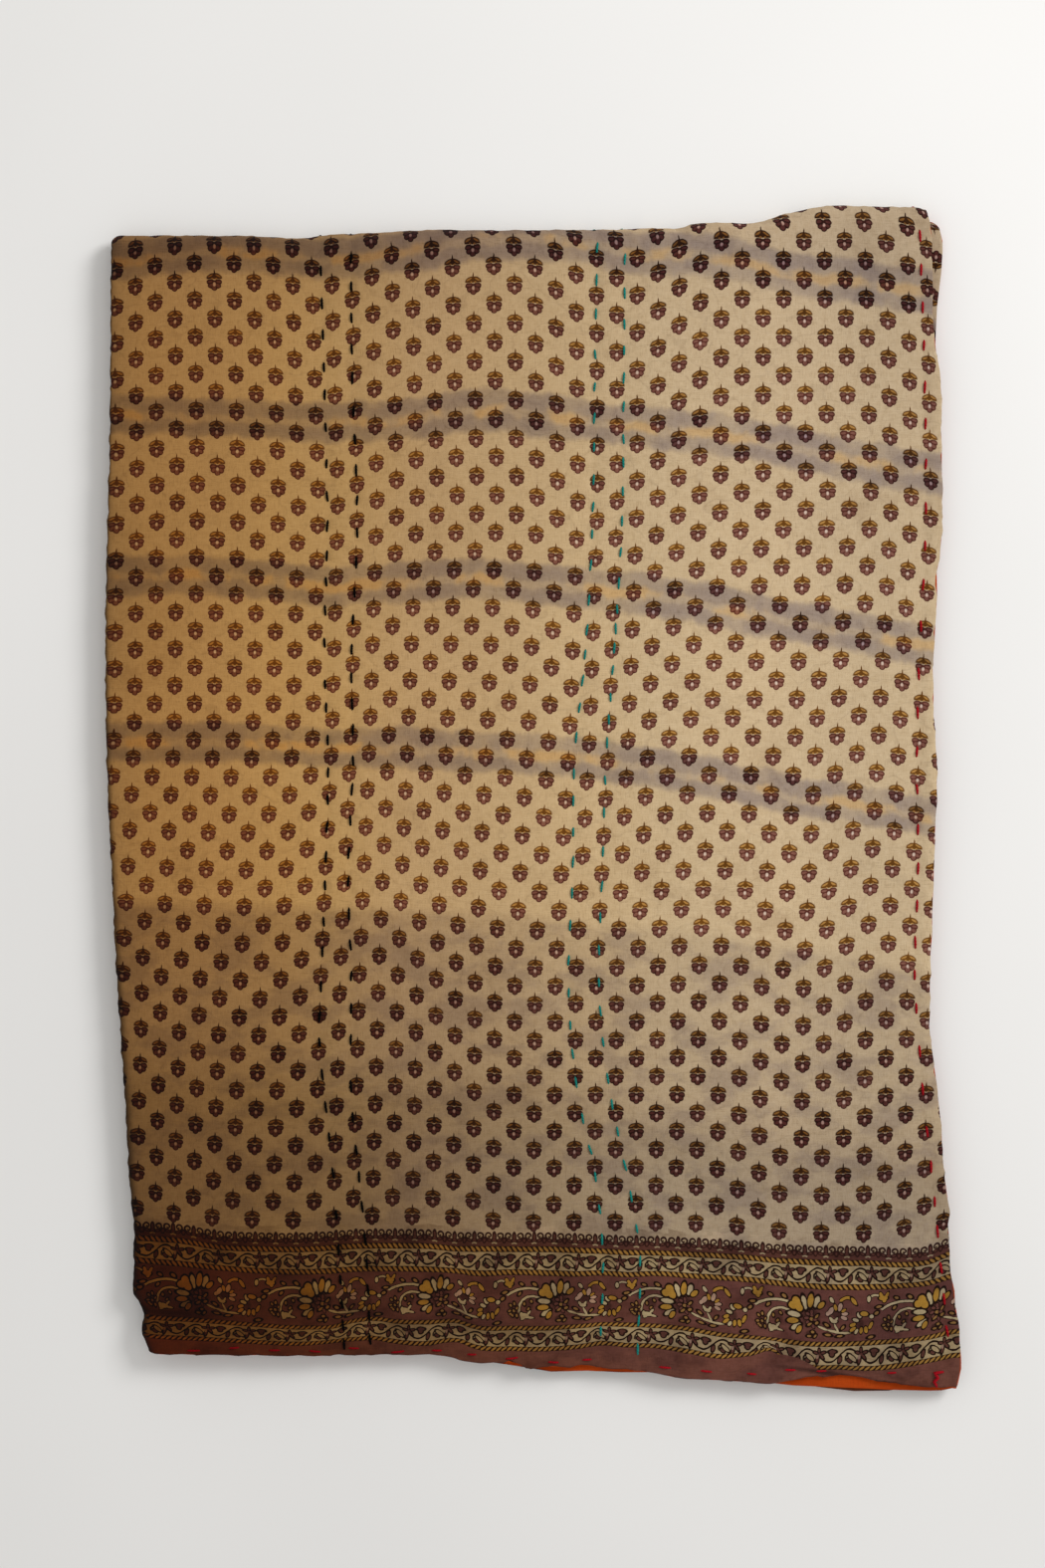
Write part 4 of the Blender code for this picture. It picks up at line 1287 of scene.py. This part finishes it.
# Places in the border, in the even print's millimetres, most of them down from its upper rope.
CREST_SHIFT = 6.6  # across, of a crest's middle
CREST_STRIP = (-7.2, -6.6)  # upper edge of the purple strip under the crests
BORDER_MIDDLE = 39.0  # between its upper and its lower ropes and vine
GROUNDS = ((0.0, BORDER_CREAM), (17.5, BORDER_PURPLE), (60.6, BORDER_CREAM), (77.6, HEM_PURPLE))
VINE_MIDDLE, VINE_STEP, VINE_HALF = 8.7, 60.4, 8.0
VINE_SHIFT, LOWER_SHIFT = 6.2, 8.0  # across
MAIN_MIDDLE, MAIN_HALF = 38.9, 21.0
ROPE_LIMITS = (8.6, 69.0)  # between the upper two ropes, and between the lower two
ROPE_EDGE = (2.4, 2.1)  # from a rope's middle
# The hem's pleat, by places on the quilt: where it starts, is widest and ends, how much of the
# lower vine it takes, and the oval of its end.
PLEAT_START, PLEAT_FULL, PLEAT_END = 462.0, 520.0, 526.0
PLEAT_TAKES = 0.42
PLEAT_OVAL = ((534.0, 23.0), (20.0, 6.2), -22.0)


def paint_crests(graph, under, across, down):
    """Crests on the field's ground: a pillar between two curls, on a purple strip."""
    near = graph.minus(across, CREST_SHIFT)
    near = graph.math("WRAP", near, 0.5 * CREST_REPEAT, -0.5 * CREST_REPEAT)
    local = graph.join(graph.size(near), down)
    base = graph.mix(graph.span(down, *CREST_STRIP), under, VINE_PURPLE)
    curl = graph.arc(local, (4.8, -10.1), 2.1, 0.75, (5.5, -11.2), (3.5, 3.4))
    eye = graph.oval(local, (5.2, -9.7), (1.7, 1.5))
    base = graph.blot(base, eye, BORDER_CREAM, soft=0.16, strength=0.8)
    hook = graph.oval(local, (4.3, -9.5), (0.8, 0.7))
    base = graph.blot(base, graph.math("MINIMUM", curl, hook), CREST_LINE, soft=0.14)
    foot = graph.ovals(local, [(3.9, -6.8, 2.6, 1.3, -14.0), (7.9, -6.8, 1.6, 2.3, 0.0)])
    base = graph.ink(base, foot, VINE_PURPLE, CREST_LINE, inner=0.24, edge=0.52)
    pillar = graph.ovals(local, [(0.0, -9.5, 1.7, 3.8, 0.0), (0.0, -6.6, 2.4, 1.7, 0.0)])
    base = graph.ink(base, pillar, VINE_PURPLE, CREST_LINE, inner=0.26, edge=0.52)
    loop = graph.arc(local, (0.0, -2.2), 2.6, 0.55, (0.0, -4.9), (2.4, 1.4))
    return graph.blot(base, loop, PRINT_CREAM, soft=0.16, strength=0.7)


def paint_ropes(graph, under, across, down, lower):
    """The ropes: the upper two lean to the right, and the lower two are flatter and lean left."""
    # each has its own part of the border's depth
    second = graph.math("GREATER_THAN", down, ROPE_LIMITS[0])
    steps = graph.times(second, ROPE_PLACES[1])
    steps = graph.linear(lower, ROPE_PLACES[2] - ROPE_PLACES[1], steps)
    last = graph.math("GREATER_THAN", down, ROPE_LIMITS[1])
    steps = graph.linear(last, ROPE_PLACES[3] - ROPE_PLACES[2], steps)
    aside = graph.minus(down, steps)
    aside = graph.times(aside, graph.linear(lower, 0.16, 1.0))
    slant = graph.linear(lower, 1.65, -0.75)
    along = graph.math("ADD", across, graph.times(slant, aside))
    stroke = graph.math("WRAP", along, 0.5 * ROPE_STROKE, -0.5 * ROPE_STROKE)
    stroke = graph.oval(graph.join(stroke, aside), (0.0, 0.0), (1.22, 1.95))
    rope = graph.blot(ROPE_DARK, stroke, ROPE_GOLD, soft=0.16)
    return graph.mix(graph.span(graph.size(aside), *ROPE_EDGE), under, rope)


def paint_border(graph, under):
    """The border: crests, ropes, two vine bands and the main band, down to the plain hem."""
    place = graph.wobbled(graph.map("border"), 0.30, 0.8)
    across, down = graph.parts(place)
    base = paint_crests(graph, under, across, down)

    lower = graph.math("GREATER_THAN", down, BORDER_MIDDLE)
    grounds = [(start / 100.0, ground) for start, ground in GROUNDS]
    plain = graph.ramp(graph.times(down, 0.01), grounds, interpolation="CONSTANT")
    base = graph.mix(graph.math("GREATER_THAN", down, 0.0), base, plain)

    # the hem's pleat hides the lower vine's lower part
    vine_across = graph.math("ADD", graph.linear(lower, LOWER_SHIFT, across), VINE_SHIFT)
    vine_down = graph.times(lower, -VINE_STEP)
    vine_down = graph.math("ADD", vine_down, graph.minus(down, VINE_MIDDLE))
    seen_across, seen_up = graph.parts(graph.map("place"))
    start = graph.span(seen_across, PLEAT_START, PLEAT_FULL, 0.0, -PLEAT_TAKES)
    end = graph.span(seen_across, PLEAT_FULL, PLEAT_END, -PLEAT_TAKES, 0.0)
    pleat = graph.linear(lower, graph.math("MAXIMUM", start, end), 1.0)
    shown_down = graph.linear(graph.math("ADD", vine_down, 8.5), pleat, -8.5)
    vine = paint_vine(graph, BORDER_CREAM, graph.join(vine_across, shown_down))
    base = graph.mix(graph.math("LESS_THAN", graph.size(vine_down), VINE_HALF), base, vine)

    main = paint_main_band(graph, BORDER_PURPLE, place)
    in_main = graph.size(graph.minus(down, MAIN_MIDDLE))
    base = graph.mix(graph.math("LESS_THAN", in_main, MAIN_HALF), base, main)
    base = paint_ropes(graph, base, across, down, lower)
    # the pleat's end, which lies over the lowest rope
    cover = graph.oval(graph.join(seen_across, seen_up), *PLEAT_OVAL)
    return graph.blot(base, cover, HEM_PURPLE, soft=0.03)


# Ovals on the quilt: painted shadows in the folds of the hem's wave and of the left end's valley.
FOLD_SHADOWS = ((560.0, 17.0, 36.0, 1.7, -8.4), (46.0, 65.0, 38.0, 3.2, -5.0))


def aged_and_shaded(graph, base):
    """Uneven dye in patches and specks, painted shade at the left end, and painted shadows in two
    folds.
    """
    place = graph.map("place")
    mottle = graph.noise(place, 0.035, 0.05, 4.0, roughness=0.62)
    base = graph.toned(base, colour(208, 200, 196), (mottle, 0.52, 0.34, 0.0, 0.8))
    base = graph.toned(base, (1.16, 1.15, 1.15, 1.0), (mottle, 0.50, 0.68))
    # painted shade of the left fold: darker and redder towards its left end
    across, up = graph.parts(place)
    _, down = graph.parts(graph.map("border"))
    left_end_shade = graph.span(across, 260.0, 5.0)
    left_end_shade = graph.times(left_end_shade, graph.span(down, -14.0, -6.0))
    in_hem = graph.math("GREATER_THAN", down, ROPE_PLACES[3])
    end_shade = graph.mix(in_hem, colour(214, 180, 124), colour(248, 200, 132))
    base = graph.toned(base, end_shade, left_end_shade)
    # painted shadows of the two folds
    fold = graph.ovals(graph.join(across, up), FOLD_SHADOWS)
    return graph.blot(base, fold, colour(22, 11, 12), soft=0.45, strength=0.62)


def cloth_look(name, with_border):
    """The printed cotton, with or without its border."""
    material, graph = new_material(name, 0.92, 0.03)
    stripe, glow = show_through(graph)
    base = paint_buti(graph, GROUND, stripe)
    if with_border:
        base = aged_and_shaded(graph, paint_border(graph, base))
    dress_cloth(graph, shaded_and_worn_tone(graph, base, stripe, glow))
    return material


def backing_look():
    """The plain orange cotton of the quilt's other side."""
    material, graph = new_material("orange_backing", 0.9, 0.03)
    cloudy = graph.noise(graph.map("place"), 0.02, 0.03, 4.0, roughness=0.6)
    shades = ((0.30, (156, 54, 5)), (0.52, (174, 63, 8)), (0.72, (184, 76, 18)))
    base = graph.ramp(cloudy, [(place, colour(*shade)) for place, shade in shades])
    dress_cloth(graph, base)
    return material


def thread_look(name, deep, bright):
    """A soft cotton thread of several fine strands."""
    material, graph = new_material(name, 0.8, 0.01, gloss=0.03)
    place = graph.node("ShaderNodeTexCoord", {}, output=3)
    strands = graph.noise(place, 1600.0, 1600.0, 2.0)
    base = graph.ramp(strands, [(0.35, deep), (0.65, bright)])
    # painted shade: the thread is darker towards the quilt's left
    across, _ = graph.parts(place)
    graph.show(graph.toned(base, colour(186, 166, 156), (across, 0.15, -0.25)))
    graph.bump(strands, *THREAD_BUMP)
    return material


def floor_look():
    """A plain pale floor with the faintest unevenness."""
    material, graph = new_material("pale_floor", 0.8, 0.0)
    place = graph.node("ShaderNodeTexCoord", {}, output=3)
    inputs = {"Vector": place, "Scale": 2.0, "Detail": 2.0, "Roughness": 0.5}
    cloudy = graph.node("ShaderNodeTexNoise", inputs)
    graph.show(graph.ramp(cloudy, [(0.3, colour(236, 235, 233)), (0.7, colour(240, 239, 237))]))
    return material


# ---------------------------------------------------------------- threads

THREAD_SIDES = 5
THREAD_RINGS = 9
STRAND_TWIST = 2.2  # turns of a stitch's two strands
STRAND_REACH = 0.42  # of a strand's middle from the stitch's middle
STITCH_SINK = 0.55  # of a stitch's ends into the cloth
# Rise of the stitches' middles, and how thick the strands are where no table says it.
FRONT_RISE, HEM_RISE, FOLD_RISE, UNDER_RISE = 0.95, 0.6, 0.5, -0.35
HEM_RADIUS, HIDDEN_RADIUS, KNOT_RADIUS = 0.6, 0.5, 1.4


def strand_tube(points, radius, vertices, faces):
    """Adds a tube round the points, which thins at both ends, to the lists."""
    points = np.asarray(points, float)
    count = len(points)
    ways = np.gradient(points, axis=0)
    ways /= np.linalg.norm(ways, axis=1)[:, None] + 1e-9
    aside = np.cross(ways, np.array([0.0, 0.0, 1.0]))
    aside /= np.linalg.norm(aside, axis=1)[:, None] + 1e-9
    upright = np.cross(aside, ways)
    first = len(vertices)
    for ring in range(count):
        share = ring / (count - 1)
        thick = radius * (0.55 + 0.45 * math.sin(math.pi * share) ** 0.5)
        for side in range(THREAD_SIDES):
            angle = 2.0 * math.pi * side / THREAD_SIDES
            offset = math.cos(angle) * aside[ring] + math.sin(angle) * upright[ring]
            vertices.append(points[ring] + thick * offset)
    for ring in range(count - 1):
        for side in range(THREAD_SIDES):
            a = first + ring * THREAD_SIDES + side
            b = first + ring * THREAD_SIDES + (side + 1) % THREAD_SIDES
            faces.append((a, b, b + THREAD_SIDES, a + THREAD_SIDES))
    faces.append(tuple(first + side for side in reversed(range(THREAD_SIDES))))
    last = first + (count - 1) * THREAD_SIDES
    faces.append(tuple(last + side for side in range(THREAD_SIDES)))


def add_stitch(ends, rise, store, radius):
    """A stitch between two points of the cloth: two strands that twist round each other."""
    start, end = (np.asarray(point, float) for point in ends)
    way = end - start
    aside = np.cross(way, np.array([0.0, 0.0, 1.0]))
    aside /= np.linalg.norm(aside) + 1e-9
    upright = np.cross(aside, way) / (np.linalg.norm(way) + 1e-9)
    shares = np.linspace(0.0, 1.0, THREAD_RINGS)
    arch = np.sin(math.pi * shares)
    sink = math.copysign(STITCH_SINK, rise) * (1.0 - arch)
    middle = start + shares[:, None] * way + (rise * arch - sink)[:, None] * upright
    for strand in range(2):
        angle = 2.0 * math.pi * STRAND_TWIST * shares + math.pi * strand
        wind = np.cos(angle)[:, None] * aside + np.sin(angle)[:, None] * upright
        strand_tube(middle + STRAND_REACH * wind, radius, *store)


def front_stitches(stores, rng):
    """The rows of running stitches that show on the front, and the hem's row."""
    for name, row in STITCH_ROWS.items():
        for up in row["up"]:
            length = row["length"] * rng.uniform(0.85, 1.12)
            lean = rng.uniform(-0.5, 0.5)
            places = np.array([up + 0.5 * length, up - 0.5 * length])
            courses = along_table(places, STITCH_COURSES, name) + np.array([lean, -lean])
            ends = front_point(courses, places, LAYER_HALF)
            add_stitch(ends, FRONT_RISE, stores[row["thread"]], row["radius"])
    for right, up in zip(HEM_STITCHES["right"], HEM_STITCHES["up"]):
        length = HEM_STITCH * rng.uniform(0.8, 1.15)
        slope = rng.uniform(-0.6, 0.6)
        across = np.array([right - 0.5 * length, right + 0.5 * length])
        ends = front_point(across, np.array([up - slope, up + slope]), LAYER_HALF)
        add_stitch(ends, HEM_RISE, stores["red_thread"], HEM_RADIUS)


def back_stitches(stores, rng):
    """The rows go on over the top fold and along the underside."""
    for name, row in STITCH_ROWS.items():
        place = COLUMN_ANCHORS[name]
        thread = stores[row["thread"]]
        # over the fold
        for turn in (0.0, -0.62):
            turns = np.array([turn + 0.2, turn - 0.2])
            ends = fold_point(place + course_shift(place, 0.0), turns, LAYER_HALF)
            add_stitch(ends, FOLD_RISE, thread, HIDDEN_RADIUS)
        down = UNDER_START + rng.uniform(0.0, 6.0)
        while down < LENGTH - UNDER_END:
            length = row["length"] * rng.uniform(0.85, 1.1)
            sway = UNDER_SWAY[0] * math.sin(down / UNDER_SWAY[1] + place)
            places = np.array([down, down + length])
            share = (places - TOP_REACH) / (LENGTH - TOP_REACH)
            ends = back_point(place + course_shift(place, share) + sway, places, LAYER_HALF)
            add_stitch(ends, UNDER_RISE, thread, HIDDEN_RADIUS)
            down += UNDER_PITCH * rng.uniform(0.9, 1.1)


def knot(store):
    """The tangled end of the red thread near the hem's right corner."""
    right = np.array([647.2, 643.6, 639.9, 641.6, 642.9, 641.2, 639.9, 641.2, 642.1])
    up = np.array([18.5, 18.3, 17.8, 16.0, 14.0, 12.4, 11.0, 8.8, 6.6])
    points = front_point(right, up, LAYER_HALF)
    points[:, 2] += np.array([0.5, 1.0, 0.8, 1.3, 0.9, 1.2, 0.9, 0.9, 0.4])
    strand_tube(points, KNOT_RADIUS, *store)


def thread_object(name, store, material):
    """All stitches of one thread, as one mesh."""
    vertices, faces = store
    mesh = bpy.data.meshes.new(name)
    mesh.from_pydata(to_metres(np.array(vertices)).tolist(), [], faces)
    mesh.materials.append(material)
    mesh.shade_smooth()
    return add_object(name, mesh)


# ---------------------------------------------------------------- the quilt's pieces

HALF_GAP = 0.18  # between the two cloths
RIM_OUT = 0.35   # of their outer sides at the free edges
RIM_IN = RIM_OUT - 0.12
BORDER_START = -15.0  # of the border's material, above its upper rope

# Steps of the grids' rows and then of their columns, in millimetres: in each stretch from the fold
# outwards, on the outer side and on the inner side, and then the number of steps round the fold.
face = Cloth(
    ((3.2, 3.5, 2.7, 1.5), (5.0, 28.0, 8.0, 1.5), 16),
    ((2.6, 4.3, 2.4, 4.3, 2.4, 4.3, 2.4, 1.5), (8.0, 28.0, 8.0, 1.5), 12),
)
back = Cloth(
    ((8.0, 9.0, 6.0, 1.5), (8.0, 28.0, 8.0, 1.5), 12),
    ((8.0, 9.0, 6.0, 9.0, 6.0, 9.0, 2.4, 1.5), (8.0, 28.0, 8.0, 1.5), 8),
)

face_outer = face.surface(LAYER_HALF, RIM_OUT)
face_inner = face.surface(HALF_GAP, RIM_IN)
back_inner = back.surface(-HALF_GAP, -RIM_IN)
back_outer = back.surface(-LAYER_HALF, -RIM_OUT)

face_maps = print_maps(face, face_outer)
in_border = np.max(corners(face_maps["border"][1]), axis=0) > BORDER_START

cotton = [cloth_look("printed_field", False), cloth_look("printed_border", True)]
pick = in_border.astype(int)
quilt_face = sheet_object("quilt_face", face, face_outer, face_inner, cotton, pick, face_maps)
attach(quilt_face, "root")
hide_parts("face_cloth")

back_maps = {"place": print_maps(back, back_outer)["place"]}
pick = np.zeros((back_outer.shape[0] - 1, back_outer.shape[1] - 1), int)
cotton = [backing_look()]
quilt_back = sheet_object("quilt_back", back, back_inner, back_outer, cotton, pick, back_maps)
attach(quilt_back, "root")
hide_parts("back_cloth")

rng = random.Random(11)
stores = {name: ([], []) for name in ("black_thread", "teal_thread", "red_thread")}
front_stitches(stores, rng)
back_stitches(stores, rng)
knot(stores["red_thread"])
THREAD_COLOURS = {
    "black_thread": (colour(2, 1, 1), colour(7, 5, 4)),
    "teal_thread": (colour(14, 98, 92), colour(36, 148, 136)),
    "red_thread": (colour(122, 10, 18), colour(174, 20, 34)),
}
for name, store in stores.items():
    thread = thread_object(f"{name}_stitches", store, thread_look(name, *THREAD_COLOURS[name]))
    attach(thread, "root")

# ---------------------------------------------------------------- floor, light and camera

floor_mesh = bpy.data.meshes.new("floor")
floor_mesh.from_pydata([(-6, -6, 0), (6, -6, 0), (6, 6, 0), (-6, 6, 0)], [], [(0, 1, 2, 3)])
floor_mesh.materials.append(floor_look())
floor = add_object("floor", floor_mesh)
floor.location = (0.0, 0.0, -0.4 * MM)

scene = bpy.context.scene
scene.view_settings.view_transform = "Standard"
world = bpy.data.worlds.new("studio")
world.use_nodes = True
sky = world.node_tree.nodes["Background"]
sky.inputs["Color"].default_value = (1.0, 0.99, 0.975, 1.0)
sky.inputs["Strength"].default_value = 0.62
scene.world = world


KEY_PLACE = (2.2, 1.5, 1.9)
key_light = bpy.data.lights.new("key", "AREA")
key_light.shape = "SQUARE"
key_light.size = 1.2
key_light.energy = 62.0
key = add_object("key", key_light)
key.location = KEY_PLACE
flat = math.hypot(KEY_PLACE[0], KEY_PLACE[1])
key.rotation_euler = (math.atan2(flat, KEY_PLACE[2]), 0.0, math.atan2(KEY_PLACE[0], -KEY_PLACE[1]))

LENS = 60.0
SENSOR = 36.0
PIXEL = 0.77 * MM  # of the photograph, at the quilt's top
PHOTO_WIDTH, PHOTO_HEIGHT = 1050.0, 1575.0
QUILT_MIDDLE = (534.0, 803.0)  # in the photograph's pixels, from its upper left corner
QUILT_TOP = 0.018
FRAME_HEIGHT = 0.996 * PHOTO_HEIGHT * PIXEL
SIGHT = FRAME_HEIGHT * LENS / SENSOR
camera_data = bpy.data.cameras.new("camera")
camera_data.sensor_fit = "VERTICAL"
camera_data.sensor_height = SENSOR
camera_data.lens = LENS
camera = add_object("camera", camera_data)
camera.location = (
    (0.5 * PHOTO_WIDTH - QUILT_MIDDLE[0]) * PIXEL,
    (QUILT_MIDDLE[1] - 0.5 * PHOTO_HEIGHT) * PIXEL,
    SIGHT + QUILT_TOP,
)
scene.camera = camera
